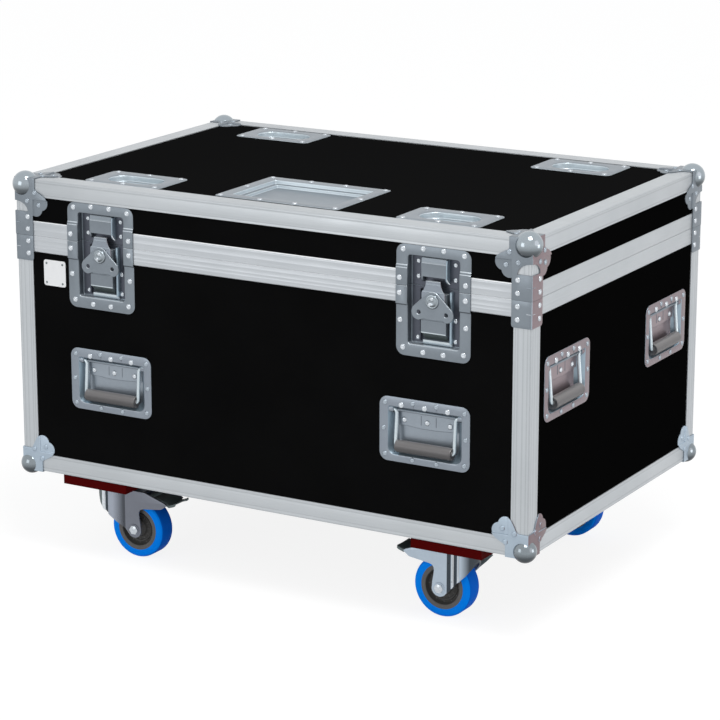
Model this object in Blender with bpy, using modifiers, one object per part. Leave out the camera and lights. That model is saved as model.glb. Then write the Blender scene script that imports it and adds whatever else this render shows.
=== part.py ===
"""Lighting flight case with a hinged lid, recessed hardware and four castors.

The case stands on the plane z = 0, centred on the origin. +X is its right
side, -Y its front and +Z is up. All lengths are in metres.
"""

from math import cos, pi, radians, sin

import bmesh
import bpy
from mathutils import Matrix, Vector

# Case box over the aluminium profiles
CASE_WIDTH = 0.940
CASE_DEPTH = 0.622
CASE_HEIGHT = 0.495
LID_HEIGHT = 0.094

# Clearance between neighbours, and how far a cutter runs past what it cuts
GAP = 0.0003
OVERRUN = 0.004

# Panels and profiles
PANEL_THICKNESS = 0.012
SKIN = 0.0018
POST_LEG = 0.030
FACE_LEG = 0.0325
LID_LEG = 0.0292
INNER_SKIN = 0.0015
INNER_LEG = 0.012
BODY_RIM = 0.003
LID_RIM = 0.0085
BODY_BAND = 0.0267
LID_BAND = 0.0244
TONGUE_WIDTH = 0.003
TONGUE_HEIGHT = 0.005
TONGUE_PLAY = 0.0006
TONGUE_BACK_INSET = 0.050

# Pressed steel sheet of every dish, leaf and brace
SHEET = 0.0012

# Ball corners
BALL_RADIUS = 0.0188
BALL_INSET = 0.0092
LEAF_REACH = 0.0385
LEAF_SHOULDER = 0.008
LOBE_RADIUS = 0.014
LOBE_FAR = 0.0487
LOBE_NEAR = 0.0354
BRACE_WIDTH = 0.034
BODY_BRACE_LENGTH = 0.042
ARCH_HALF_WIDTH = 0.0175
ARCH_HEIGHT = 0.0146
ARCH_FOOT = 0.040

# Butterfly latches
LATCH_FROM_SIDE = 0.1655
LATCH_WIDTH = 0.128
LATCH_BELOW = 0.1095
LATCH_CORNER = 0.014
PAN_WIDTH = 0.0884
PAN_BELOW = 0.091
PAN_ABOVE = 0.049
PAN_DEPTH = 0.0105
CRANK_BELOW = 0.0295
CRANK_ABOVE = 0.0320
CRANK_WALL = 0.002
HOUSING_WIDTH = 0.042
HOUSING_TOP = 0.008
HOUSING_BOTTOM = 0.076
HOUSING_TOE = 0.086
HOUSING_PROUD = 0.0005
RIB_OFFSET = 0.0278
RIB_THICKNESS = 0.0015
RIB_TOP = 0.003
RIB_BOTTOM = 0.036
RIB_SINK = 0.001
SPINDLE_DROP = 0.0195
SPINDLE_RADIUS = 0.004
SPINDLE_DEPTH = 0.005
HOOK_THICKNESS = 0.002
HOOK_WIDTH = 0.040
HOOK_FOOT = 0.042
HOOK_SHOULDER = 0.0045
HOOK_NECK_WIDTH = 0.030
HOOK_TIP_WIDTH = 0.024
HOOK_TIP = 0.0112
HOOK_TRAVEL = 0.0055
WING_THICKNESS = 0.002
WING_HUB_RADIUS = 0.015
WING_LOBE_RADIUS = 0.0125
WING_LOBE_SPREAD = 0.0235
WING_LOBE_DROP = 0.0185
WING_HOLE_RADIUS = 0.0033
KNOB_RADIUS = 0.011
KNOB_HEIGHT = 0.0032
KNOB_CAP_RADIUS = 0.006
KNOB_CAP_HEIGHT = 0.0016
KEEPER_WIDTH = 0.044
KEEPER_WALL = 0.003
KEEPER_FRONT = 0.002
KEEPER_LEG_BOTTOM = 0.002
KEEPER_LIP = 0.017
KEEPER_TOP = 0.046

# Recessed handles
HANDLE_WIDTH = 0.157
HANDLE_HEIGHT = 0.103
HANDLE_CORNER = 0.014
HANDLE_PAN_WIDTH = 0.1266
HANDLE_PAN_ABOVE = 0.0353
HANDLE_PAN_BELOW = 0.0401
HANDLE_PAN_DEPTH = 0.014
HANDLE_PAN_CORNER = 0.011
HANDLE_PAN_TOP_CORNER = 0.003
BOSS_LENGTH = 0.004
BOSS_SIZE = 0.011
WIRE_RADIUS = 0.003
WIRE_SPAN = 0.102
WIRE_DEPTH = 0.0052
WIRE_HEADROOM = 0.0020
GRIP_RADIUS = 0.0095
GRIP_LENGTH = 0.092
GRIP_DEPTH = 0.0004
GRIP_DROP = 0.0263
WIRE_BEND = 0.007
HANDLE_SWING = 90.0
FRONT_HANDLE_FROM_SIDE = 0.1797
FRONT_HANDLE_UNDER_LATCH = 0.0686
SIDE_HANDLE_FROM_CORNER = 0.1275
SIDE_HANDLE_UNDER_RIM = 0.0975

# Dishes in the lid's top
STACK_WIDTH = 0.146
STACK_DEPTH = 0.092
STACK_CORNER = 0.010
STACK_SLOT_LENGTH = 0.098
STACK_SLOT_WIDTH = 0.052
STACK_SLOT_DEPTH = 0.0095
STACK_FROM_SIDE = 0.1815
STACK_FROM_FRONT = 0.0825
LABEL_WIDTH = 0.226
LABEL_DEPTH = 0.172
LABEL_CORNER = 0.006
LABEL_STEP_WIDTH = 0.184
LABEL_STEP_DEPTH = 0.130
LABEL_STEP_SINK = 0.0045
LABEL_FLOOR_WIDTH = 0.168
LABEL_FLOOR_DEPTH = 0.114
LABEL_FLOOR_SINK = 0.0095
LABEL_FROM_FRONT = 0.128

# Hinge along the back
HINGE_FROM_SIDE = 0.070
HINGE_KNUCKLES = 5
KNUCKLE_RADIUS = 0.0036
HINGE_PIN_RADIUS = 0.0016
HINGE_LEAF_HEIGHT = 0.021
LID_SWING = 100.0

# Castor boards
BOARD_THICKNESS = 0.015
BOARD_WIDTH = 0.124
BOARD_INSET = 0.0016

# Castors: the plate, the fork and the wheel
CASTOR_HEIGHT = 0.130
CASTOR_FROM_SIDE = 0.141
CASTOR_FROM_FRONT = 0.081
CASTOR_TRAIL = 0.040
CASTOR_PLATE_LENGTH = 0.104
CASTOR_PLATE_WIDTH = 0.084
CASTOR_PLATE_THICKNESS = 0.003
RACE_RADIUS = 0.031
RACE_HEIGHT = 0.0085
KINGPIN_RADIUS = 0.006
KINGPIN_NUT_RADIUS = 0.010
KINGPIN_NUT_HEIGHT = 0.006
FORK_WIDTH = 0.052
FORK_SHEET = 0.003
FORK_HEAD = 0.004
FORK_ROUND_OFFSET = 0.009
FORK_HEAD_REACH = 0.062
FORK_HORN_REACH = 0.104
FORK_HORN_TOP = 0.0273
FORK_HORN_BOTTOM = 0.0358
FORK_HORN_HEEL = 0.0957
FORK_ARCH_TOP = 0.0387
FORK_ARCH_START = 0.071
FORK_LEG_TOP = 0.0438
FORK_LEG_REACH = 0.0515
FORK_FOOT_RADIUS = 0.0135
FORK_DIAGONAL_TOP = 0.048
FORK_OPEN_BACK = 0.045
AXLE_RADIUS = 0.006
AXLE_HEAD_RADIUS = 0.009
AXLE_HEAD_HEIGHT = 0.0035
WHEEL_RADIUS = 0.050
WHEEL_WIDTH = 0.036
WHEEL_SIDES = 22
WHEEL_BOSS_RADIUS = 0.013
WHEEL_BOSS_PLAY = 0.0005
WHEEL_WEB_WIDTH = 0.016
WHEEL_WEB_RADIUS = 0.030
WHEEL_RIM_RADIUS = 0.035
TYRE_SHOULDER = 0.0045

# Brake pedals of the front castors
PEDAL_WIDTH = 0.042
PEDAL_PIVOT_BACK = 0.071
PEDAL_PIVOT_DROP = 0.0205
PEDAL_PIVOT_RADIUS = 0.0055
PEDAL_PIN_RADIUS = 0.0028
PEDAL_THICKNESS = 0.0035
PEDAL_TIP_REACH = 0.119
PEDAL_TIP_DROP = 0.0265
PEDAL_HEEL_REACH = 0.109
PEDAL_HEEL_DROP = 0.0325
PEDAL_SHOE_LENGTH = 0.0155
PEDAL_SHOE_WIDTH = 0.008
PEDAL_PRESS = 10.0

# Facets of round shapes
CORNER_STEPS = 4
LOBE_STEPS = 4
BALL_SIDES = 16
BALL_RINGS = 8
ROUND_SIDES = 16
SMALL_ROUND_SIDES = 12
SLOT_END_STEPS = 6

# Places that follow from the sizes
SPLIT_HEIGHT = CASE_HEIGHT - LID_HEIGHT
LATCH_OFFSET = CASE_WIDTH / 2 - LATCH_FROM_SIDE
FRONT_HANDLE_OFFSET = CASE_WIDTH / 2 - FRONT_HANDLE_FROM_SIDE
FRONT_HANDLE_HEIGHT = (SPLIT_HEIGHT - LATCH_BELOW - FRONT_HANDLE_UNDER_LATCH
                       - HANDLE_HEIGHT / 2)
SIDE_HANDLE_OFFSET = CASE_DEPTH / 2 - SIDE_HANDLE_FROM_CORNER
SIDE_HANDLE_HEIGHT = SPLIT_HEIGHT - SIDE_HANDLE_UNDER_RIM - HANDLE_HEIGHT / 2
STACK_OFFSET_X = CASE_WIDTH / 2 - STACK_FROM_SIDE
STACK_OFFSET_Y = CASE_DEPTH / 2 - STACK_FROM_FRONT
LABEL_OFFSET_Y = CASE_DEPTH / 2 - LABEL_FROM_FRONT
HINGE_LENGTH = CASE_WIDTH - 2 * HINGE_FROM_SIDE
CASTOR_OFFSET_X = CASE_WIDTH / 2 - CASTOR_FROM_SIDE
CASTOR_OFFSET_Y = CASE_DEPTH / 2 - CASTOR_FROM_FRONT
CASE_BOTTOM = CASTOR_HEIGHT + BOARD_THICKNESS + GAP
CASE_TOP = CASE_BOTTOM + CASE_HEIGHT
SPLIT_Z = CASE_BOTTOM + SPLIT_HEIGHT
SIDE_X = CASE_WIDTH / 2
FRONT_Y = -CASE_DEPTH / 2
PANEL_SINK = SKIN + GAP
SLOT = PANEL_THICKNESS + 2 * GAP
WALL = SKIN + SLOT + INNER_SKIN
LEAF_OUT = GAP + SHEET
CORNER_LEG = max(POST_LEG, FACE_LEG, LID_LEG) + GAP
HINGE_Y = -FRONT_Y + GAP + KNUCKLE_RADIUS
LATCH_NOTCH = PAN_WIDTH / 2 + SHEET + GAP
LATCH_ABOVE = CASE_HEIGHT - SPLIT_HEIGHT - LID_LEG - GAP
RAISE = SKIN + 2 * GAP

# Finishes: colour, roughness and metallic value
BLACK_LAMINATE = ((0.012, 0.012, 0.013), 0.45, 0.0)
ALUMINIUM = ((0.60, 0.61, 0.63), 0.42, 0.9)
ZINC = ((0.36, 0.38, 0.40), 0.38, 0.9)
DARK_STEEL = ((0.08, 0.09, 0.09), 0.5, 0.8)
RED_PLYWOOD = ((0.090, 0.012, 0.010), 0.6, 0.0)
BLUE_TYRE = ((0.0, 0.20, 0.90), 0.5, 0.0)


def clear_scene():
    """Remove whatever the open file holds."""
    for thing in list(bpy.data.objects):
        bpy.data.objects.remove(thing, do_unlink=True)


clear_scene()
PARTS = bpy.data.collections.new("lighting_flight_case")
CUTTERS = bpy.data.collections.new("cutters")
bpy.context.scene.collection.children.link(PARTS)
bpy.context.scene.collection.children.link(CUTTERS)


def finish_for(name, finish):
    """Make the piece's own Principled material."""
    colour, roughness, metallic = finish
    material = bpy.data.materials.new(name + "_finish")
    material.use_nodes = True
    shader = material.node_tree.nodes["Principled BSDF"]
    shader.inputs["Base Color"].default_value = (*colour, 1.0)
    shader.inputs["Roughness"].default_value = roughness
    shader.inputs["Metallic"].default_value = metallic
    material.diffuse_color = (*colour, 1.0)
    return material


def object_from(name, shape):
    """Turn a bmesh into an object among the cutters, where work in progress lies."""
    shape.normal_update()
    bmesh.ops.recalc_face_normals(shape, faces=shape.faces)
    mesh = bpy.data.meshes.new(name)
    shape.to_mesh(mesh)
    shape.free()
    thing = bpy.data.objects.new(name, mesh)
    CUTTERS.objects.link(thing)
    return thing


def box(name, low, high):
    """A block between two opposite corners, given in any order."""
    first = Vector([min(pair) for pair in zip(low, high)])
    last = Vector([max(pair) for pair in zip(low, high)])
    shape = bmesh.new()
    bmesh.ops.create_cube(shape, size=1)
    bmesh.ops.scale(shape, vec=last - first, verts=shape.verts)
    bmesh.ops.translate(shape, vec=(first + last) / 2, verts=shape.verts)
    return object_from(name, shape)


def rod(name, start, end, radius, sides=ROUND_SIDES):
    """A round bar from one point to another."""
    start, end = Vector(start), Vector(end)
    along = end - start
    shape = bmesh.new()
    bmesh.ops.create_cone(shape, cap_ends=True, segments=sides, radius1=radius,
                          radius2=radius, depth=along.length)
    turn = along.to_track_quat("Z", "Y").to_matrix().to_4x4()
    shape.transform(Matrix.Translation((start + end) / 2) @ turn)
    return object_from(name, shape)


def ball(name, centre, radius):
    """A faceted ball."""
    shape = bmesh.new()
    bmesh.ops.create_uvsphere(shape, u_segments=BALL_SIDES, v_segments=BALL_RINGS,
                              radius=radius)
    bmesh.ops.translate(shape, vec=Vector(centre), verts=shape.verts)
    return object_from(name, shape)


def mesh_of(thing):
    """The mesh of an object with its modifiers applied."""
    bpy.context.view_layer.update()
    graph = bpy.context.evaluated_depsgraph_get()
    return bpy.data.meshes.new_from_object(thing.evaluated_get(graph))


def extruded(name, outlines, low, high, axis):
    """Flat outlines, the first outside and the others holes, drawn out along an axis.

    An outline's two coordinates are X and Y for axis Z, X and Z for axis Y, and
    Y and Z for axis X.
    """
    curve = bpy.data.curves.new(name, "CURVE")
    curve.dimensions = "2D"
    curve.fill_mode = "BOTH"
    curve.extrude = abs(high - low) / 2
    for outline in outlines:
        spline = curve.splines.new("POLY")
        spline.points.add(len(outline) - 1)
        for point, place in zip(spline.points, outline):
            point.co = (place[0], place[1], 0, 1)
        spline.use_cyclic_u = True
    drawn = bpy.data.objects.new(name + "_outline", curve)
    CUTTERS.objects.link(drawn)
    mesh = mesh_of(drawn)
    bpy.data.objects.remove(drawn, do_unlink=True)
    shape = bmesh.new()
    shape.from_mesh(mesh)
    bmesh.ops.remove_doubles(shape, verts=shape.verts, dist=GAP / 100)
    middle = (low + high) / 2
    for vertex in shape.verts:
        a, b, c = vertex.co
        c += middle
        vertex.co = {"X": (c, a, b), "Y": (a, c, b), "Z": (a, b, c)}[axis]
    return object_from(name, shape)


def arc(centre, radius, start, end, steps):
    """Points on an arc, with its angles in degrees."""
    points = []
    for step in range(steps + 1):
        angle = radians(start + (end - start) * step / steps)
        points.append((centre[0] + radius * cos(angle), centre[1] + radius * sin(angle)))
    return points


def rounded(low, high, lower_radius, upper_radius, steps=CORNER_STEPS):
    """A rectangle with its two lower and two upper corners rounded; a radius of 0 is sharp."""
    (x0, y0), (x1, y1) = low, high
    points = []
    for x, y, radius, start in (
        (x0, y0, lower_radius, 180),
        (x1, y0, lower_radius, 270),
        (x1, y1, upper_radius, 0),
        (x0, y1, upper_radius, 90),
    ):
        if radius == 0:
            points.append((x, y))
            continue
        centre = (x + radius if x == x0 else x - radius, y + radius if y == y0 else y - radius)
        points += arc(centre, radius, start, start + 90, steps)
    return points


def hull(points):
    """The convex outline round a set of points, anticlockwise."""
    ordered = sorted(points)

    def chain(row):
        kept = []
        for point in row:
            while len(kept) > 1:
                ax, ay = kept[-1][0] - kept[-2][0], kept[-1][1] - kept[-2][1]
                bx, by = point[0] - kept[-2][0], point[1] - kept[-2][1]
                if ax * by - ay * bx > 0:
                    break
                kept.pop()
            kept.append(point)
        return kept[:-1]

    return chain(ordered) + chain(ordered[::-1])


def modify(target, tool, operation):
    """Add a Boolean to the target, and mark the tool as a cutter."""
    tool.hide_render = True
    tool.display_type = "WIRE"
    modifier = target.modifiers.new(operation.lower() + "_" + tool.name, "BOOLEAN")
    modifier.operation = operation
    modifier.solver = "EXACT"
    modifier.object = tool


def join(target, *tools):
    """Fuse other solids to the target."""
    for tool in tools:
        modify(target, tool, "UNION")


def cut(target, *tools):
    """Cut other solids out of the target."""
    for tool in tools:
        modify(target, tool, "DIFFERENCE")


def pattern(thing):
    """Settle a built shape into one mesh that copies can share, and clear its tools away."""
    mesh = mesh_of(thing)
    tools = [modifier.object for modifier in thing.modifiers]
    for used in [thing, *tools]:
        if used.name in CUTTERS.objects:
            bpy.data.objects.remove(used, do_unlink=True)
    return mesh


def axis_empty(name, place, parent=None):
    """An empty on a joint's axis, which carries what moves about it."""
    empty = bpy.data.objects.new(name, None)
    empty.empty_display_size = KNOB_RADIUS
    PARTS.objects.link(empty)
    empty.location = place
    if parent:
        empty.parent = parent
        empty.matrix_parent_inverse = Matrix.Translation(-world_place(parent))
    return empty


def world_place(empty):
    """The world position of an empty, which is never turned."""
    return Vector(empty.location)


def add_piece(name, thing, finish, carrier=None):
    """Make a built object a named piece of the case, carried by an empty."""
    thing.name = name
    thing.data.name = name
    thing.data.materials.append(finish_for(name, finish))
    CUTTERS.objects.unlink(thing)
    PARTS.objects.link(thing)
    carry(thing, carrier)
    return thing


def add_copy(name, mesh, finish, place, turn=0, carrier=None):
    """Place one copy of a shared mesh, turned about the vertical in degrees."""
    thing = bpy.data.objects.new(name, mesh)
    if not mesh.materials:
        mesh.materials.append(None)
    PARTS.objects.link(thing)
    thing.material_slots[0].link = "OBJECT"
    thing.material_slots[0].material = finish_for(name, finish)
    thing.location = place
    thing.rotation_euler = (0, 0, radians(turn))
    carry(thing, carrier)
    return thing


def carry(thing, carrier):
    """Parent a piece to its joint's empty and leave it where it stands."""
    if carrier:
        thing.parent = carrier
        thing.matrix_parent_inverse = Matrix.Translation(-world_place(carrier))


def panel_half(face):
    """Half the distance between the outer faces of opposite panels."""
    return face - PANEL_SINK


def latch_notch(name, side, low_z, high_z, depth):
    """The block that makes room for a latch's pan in a front wall."""
    middle = side * LATCH_OFFSET
    return box(name, (middle - LATCH_NOTCH, FRONT_Y - OVERRUN, low_z),
               (middle + LATCH_NOTCH, FRONT_Y + depth, high_z))


def handle_hole(name, side, face, along, height):
    """The block that makes room for a handle's pan in a front or side panel."""
    half = HANDLE_PAN_WIDTH / 2 + SHEET + GAP
    low = height - HANDLE_PAN_BELOW - SHEET - GAP
    high = height + HANDLE_PAN_ABOVE + SHEET + GAP
    if face == "front":
        return box(name, (along - half, FRONT_Y - OVERRUN, low),
                   (along + half, FRONT_Y + PANEL_SINK + PANEL_THICKNESS + OVERRUN, high))
    inner = side * (SIDE_X - PANEL_SINK - PANEL_THICKNESS - OVERRUN)
    return box(name, (side * (SIDE_X + OVERRUN), along - half, low), (inner, along + half, high))


def body_panels():
    """Front, back, left, right and floor panels of the body."""
    low = CASE_BOTTOM + PANEL_SINK
    high = SPLIT_Z - GAP / 2 - BODY_RIM - GAP
    outer_x, outer_y = panel_half(SIDE_X), panel_half(-FRONT_Y)
    inner_x, inner_y = outer_x - PANEL_THICKNESS, outer_y - PANEL_THICKNESS
    front = box("front", (-inner_x + GAP, -outer_y, low), (inner_x - GAP, -inner_y, high))
    for side, word in ((-1, "left"), (1, "right")):
        pan_low = SPLIT_Z - PAN_BELOW - SHEET - GAP
        cut(front, latch_notch("latch_notch_" + word, side, pan_low, SPLIT_Z + OVERRUN,
                               PANEL_SINK + PANEL_THICKNESS + OVERRUN))
        cut(front, handle_hole("handle_hole_front_" + word, side, "front",
                               side * FRONT_HANDLE_OFFSET, CASE_BOTTOM + FRONT_HANDLE_HEIGHT))
    add_piece("front_panel", front, BLACK_LAMINATE)
    back = box("back", (-inner_x + GAP, inner_y, low), (inner_x - GAP, outer_y, high))
    add_piece("back_panel", back, BLACK_LAMINATE)
    for side, word in ((-1, "left"), (1, "right")):
        wall = box(word, (side * inner_x, -outer_y, low), (side * outer_x, outer_y, high))
        for end, place in ((-1, "front"), (1, "rear")):
            cut(wall, handle_hole("handle_hole_" + word + "_" + place, side, "side",
                                  end * SIDE_HANDLE_OFFSET, CASE_BOTTOM + SIDE_HANDLE_HEIGHT))
        add_piece(word + "_panel", wall, BLACK_LAMINATE)
    floor = box("floor", (-inner_x + GAP, -inner_y + GAP, low),
                (inner_x - GAP, inner_y - GAP, low + PANEL_THICKNESS))
    add_piece("floor_panel", floor, BLACK_LAMINATE)


def lid_panels(carrier):
    """The lid's top panel and its ring of four walls."""
    outer_x, outer_y = panel_half(SIDE_X), panel_half(-FRONT_Y)
    inner_x, inner_y = outer_x - PANEL_THICKNESS, outer_y - PANEL_THICKNESS
    top = CASE_TOP - PANEL_SINK
    ceiling = top - PANEL_THICKNESS
    cover = box("cover", (-outer_x, -outer_y, ceiling), (outer_x, outer_y, top))
    for word, x, y in stack_places():
        half_x = STACK_SLOT_LENGTH / 2 + SHEET + GAP
        half_y = STACK_SLOT_WIDTH / 2 + SHEET + GAP
        cut(cover, box("stack_hole_" + word, (x - half_x, y - half_y, ceiling - OVERRUN),
                       (x + half_x, y + half_y, top + OVERRUN)))
    half_x = LABEL_STEP_WIDTH / 2 + SHEET + GAP
    half_y = LABEL_STEP_DEPTH / 2 + SHEET + GAP
    cut(cover, box("label_hole", (-half_x, -LABEL_OFFSET_Y - half_y, ceiling - OVERRUN),
                   (half_x, -LABEL_OFFSET_Y + half_y, top + OVERRUN)))
    add_piece("lid_top_panel", cover, BLACK_LAMINATE, carrier)
    low = SPLIT_Z + GAP / 2 + LID_RIM + GAP
    wall = box("wall", (-outer_x, -outer_y, low), (outer_x, outer_y, ceiling - GAP))
    cut(wall, box("lid_hollow", (-inner_x, -inner_y, low - OVERRUN),
                  (inner_x, inner_y, ceiling + OVERRUN)))
    for side, word in ((-1, "left"), (1, "right")):
        pan_high = SPLIT_Z + PAN_ABOVE + SHEET + GAP
        cut(wall, latch_notch("lid_latch_notch_" + word, side, SPLIT_Z - OVERRUN, pan_high,
                              PANEL_SINK + PANEL_THICKNESS + OVERRUN))
    add_piece("lid_wall", wall, BLACK_LAMINATE, carrier)


def tongue_bars(name, rim, inward, play):
    """Bars along the front and both sides of a rim: the tongue, or its groove with play."""
    middle = SKIN + SLOT / 2
    half = TONGUE_WIDTH / 2 + play
    x, y = SIDE_X - middle, -FRONT_Y - middle
    far = y - TONGUE_BACK_INSET + play
    up = rim - inward * (TONGUE_HEIGHT + play)
    down = rim + inward * (BODY_RIM / 2)
    bars = [box(name + "_front", (-x - half, -y - half, up), (x + half, -y + half, down))]
    for side, word in ((-1, "left"), (1, "right")):
        bars.append(box(name + "_" + word, (side * x - half, -y - half, up),
                        (side * x + half, far, down)))
    return bars


def edge_frame(name, rim, inward, height, rim_thickness, band, end_leg):
    """A half of the case's aluminium skin: edge legs, posts and the closing profile.

    The frame starts at the height called rim, and inward is -1 where it goes down
    from there and 1 where it goes up.
    """
    def level(depth):
        return rim + inward * depth

    frame = box(name, (-SIDE_X, FRONT_Y, level(0)), (SIDE_X, -FRONT_Y, level(height)))
    inner_x, inner_y = SIDE_X - SKIN, -FRONT_Y - SKIN
    mouth_x, mouth_y = SIDE_X - WALL, -FRONT_Y - WALL
    inner_end = rim_thickness + INNER_LEG
    cut(frame, box(name + "_mouth", (-mouth_x, -mouth_y, level(-OVERRUN)),
                   (mouth_x, mouth_y, level(inner_end + OVERRUN))))
    cut(frame, box(name + "_inside", (-inner_x, -inner_y, level(inner_end)),
                   (inner_x, inner_y, level(height - SKIN))))
    for sign, word in ((-1, "low"), (1, "high")):
        cut(frame, box(name + "_slot_y_" + word,
                       (-inner_x, sign * inner_y, level(rim_thickness)),
                       (inner_x, sign * (inner_y - SLOT), level(inner_end + OVERRUN))))
        cut(frame, box(name + "_slot_x_" + word,
                       (sign * inner_x, -inner_y, level(rim_thickness)),
                       (sign * (inner_x - SLOT), inner_y, level(inner_end + OVERRUN))))
        cut(frame, box(name + "_window_y_" + word,
                       (-SIDE_X + POST_LEG, sign * (-FRONT_Y - OVERRUN), level(band)),
                       (SIDE_X - POST_LEG, sign * (-FRONT_Y + OVERRUN), level(height - end_leg))))
        cut(frame, box(name + "_window_x_" + word,
                       (sign * (SIDE_X - OVERRUN), FRONT_Y + POST_LEG, level(band)),
                       (sign * (SIDE_X + OVERRUN), -FRONT_Y - POST_LEG,
                        level(height - end_leg))))
    cut(frame, box(name + "_face", (-SIDE_X + FACE_LEG, FRONT_Y + FACE_LEG, level(height - OVERRUN)),
                   (SIDE_X - FACE_LEG, -FRONT_Y - FACE_LEG, level(height + OVERRUN))))
    return frame


def latch_notches(name, frame):
    """Room for both latch pans in a frame's closing profile, up to its inner leg."""
    for side, word in ((-1, "left"), (1, "right")):
        cut(frame, latch_notch(name + "_pan_" + word, side, SPLIT_Z - BODY_BAND - OVERRUN,
                               SPLIT_Z + LID_BAND + OVERRUN, SKIN + SLOT))


def body_frame():
    """Skin of the body, with its tongue and the lower halves of the corner braces."""
    rim = SPLIT_Z - GAP / 2
    height = rim - CASE_BOTTOM
    frame = edge_frame("body_frame", rim, -1, height, BODY_RIM, BODY_BAND, POST_LEG)
    join(frame, *tongue_bars("tongue", rim, -1, 0))
    latch_notches("body", frame)
    for x_side in (-1, 1):
        for y_side in (-1, 1):
            words = ("left" if x_side < 0 else "right") + ("_front" if y_side < 0 else "_rear")
            corner = (x_side * (SIDE_X + LEAF_OUT), y_side * (-FRONT_Y + LEAF_OUT), rim)
            low = rim - BODY_BRACE_LENGTH
            join(frame, box("brace_x_" + words, corner,
                            (x_side * (SIDE_X - BRACE_WIDTH), y_side * (-FRONT_Y - SKIN / 2), low)))
            join(frame, box("brace_y_" + words, corner,
                            (x_side * (SIDE_X - SKIN / 2), y_side * (-FRONT_Y - BRACE_WIDTH), low)))
    add_piece("body_edge_frame", frame, ALUMINIUM)


def lid_frame(carrier):
    """Skin of the lid, with the groove that takes the body's tongue."""
    rim = SPLIT_Z + GAP / 2
    frame = edge_frame("lid_frame", rim, 1, CASE_TOP - rim, LID_RIM, LID_BAND, LID_LEG)
    groove = tongue_bars("groove", rim - GAP, -1, TONGUE_PLAY)
    cut(frame, *groove)
    latch_notches("lid", frame)
    add_piece("lid_edge_frame", frame, ALUMINIUM, carrier)


def leaf_outline(down):
    """One leaf of a corner, measured from the case's corner along two of its edges.

    The second coordinate runs away from the corner in the direction of down.
    """
    lower = (LEAF_REACH, LEAF_SHOULDER)
    lobe = arc((LOBE_FAR, LOBE_NEAR), LOBE_RADIUS, -60, 90, LOBE_STEPS)
    half = [(LEAF_REACH, -LEAF_OUT), lower] + lobe
    other = [(b, a) for a, b in reversed(half)]
    outline = [(-LEAF_OUT, -LEAF_OUT)] + half + other
    return [(a, b * down) for a, b in outline]


def corner_pattern(top):
    """A ball corner at the origin, whose case lies towards -X, +Y and away along Z."""
    down = -1 if top else 1
    inset = BALL_INSET
    piece = ball("corner_ball", (-inset, inset, down * inset), BALL_RADIUS)
    leaf_in = SKIN
    front = [(-a, b) for a, b in leaf_outline(down)]
    side = [(a, b) for a, b in leaf_outline(down)]
    flat = [(-a, b) for a, b in leaf_outline(1)]
    join(piece, extruded("leaf_front", [front], -LEAF_OUT, leaf_in, "Y"))
    join(piece, extruded("leaf_side", [side], -leaf_in, LEAF_OUT, "X"))
    join(piece, extruded("leaf_flat", [flat], -down * LEAF_OUT, down * leaf_in, "Z"))
    if top:
        low = SPLIT_Z + GAP / 2 - CASE_TOP
        corner = (LEAF_OUT, -LEAF_OUT, 0)
        join(piece, box("brace_front", corner, (-BRACE_WIDTH, -GAP / 2, low)))
        join(piece, box("brace_side", corner, (GAP / 2, BRACE_WIDTH, low)))
    reach = CORNER_LEG
    far = LOBE_FAR + LOBE_RADIUS + CASE_HEIGHT
    cut(piece, box("post_room", (GAP, -GAP, -down * GAP), (-reach, reach, down * far)))
    cut(piece, box("edge_room_x", (GAP, -GAP, -down * GAP), (-far, reach, down * reach)))
    cut(piece, box("edge_room_y", (GAP, -GAP, -down * GAP), (-reach, far, down * reach)))
    if top:
        arch = [(ARCH_HALF_WIDTH * cos(angle), ARCH_HEIGHT * sin(angle) - ARCH_FOOT - ARCH_HEIGHT)
                for angle in [pi * step / LOBE_STEPS / 2 for step in range(2 * LOBE_STEPS + 1)]]
        opening = extruded("arch", [arch], -BRACE_WIDTH, BRACE_WIDTH, "Y")
        opening.rotation_euler = (0, 0, radians(45))
        cut(piece, opening)
    return pattern(piece)


def ball_corners(carrier):
    """Four corners with braces on the lid and four plain ones under the body."""
    for top, word, height in ((True, "lid", CASE_TOP), (False, "base", CASE_BOTTOM)):
        mesh = corner_pattern(top)
        for turn, place, x_side, y_side in (
            (0, "front_right", 1, -1),
            (90, "rear_right", 1, 1),
            (180, "rear_left", -1, 1),
            (270, "front_left", -1, -1),
        ):
            add_copy(word + "_corner_" + place, mesh, ZINC,
                     (x_side * SIDE_X, -y_side * FRONT_Y, height), turn,
                     carrier if top else None)


def latch_flange(name, end, crank, direction):
    """A latch half's cranked rim, from the split to its rounded far end.

    Local Y is 0 at the panel's face and local Z is 0 at the split.
    """
    start = direction * GAP / 2
    outer, inner = -GAP - SHEET, -GAP
    raised_outer, raised_inner = outer - RAISE, inner - RAISE
    side_view = [
        (raised_outer, start), (raised_outer, direction * (crank + SHEET)),
        (outer, direction * (crank + SHEET + CRANK_WALL)), (outer, direction * end),
        (inner, direction * end), (inner, direction * (crank + CRANK_WALL)),
        (raised_inner, direction * crank), (raised_inner, start),
    ]
    half = LATCH_WIDTH / 2
    flange = extruded(name, [side_view], -half, half, "X")
    near, far = sorted((-direction * OVERRUN, direction * end))
    lower, upper = (LATCH_CORNER, 0) if direction < 0 else (0, LATCH_CORNER)
    outline = rounded((-half, near), (half, far), lower, upper)
    limit = extruded(name + "_outline", [outline], -PAN_DEPTH, PAN_DEPTH, "Y")
    modify(flange, limit, "INTERSECT")
    return flange


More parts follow.
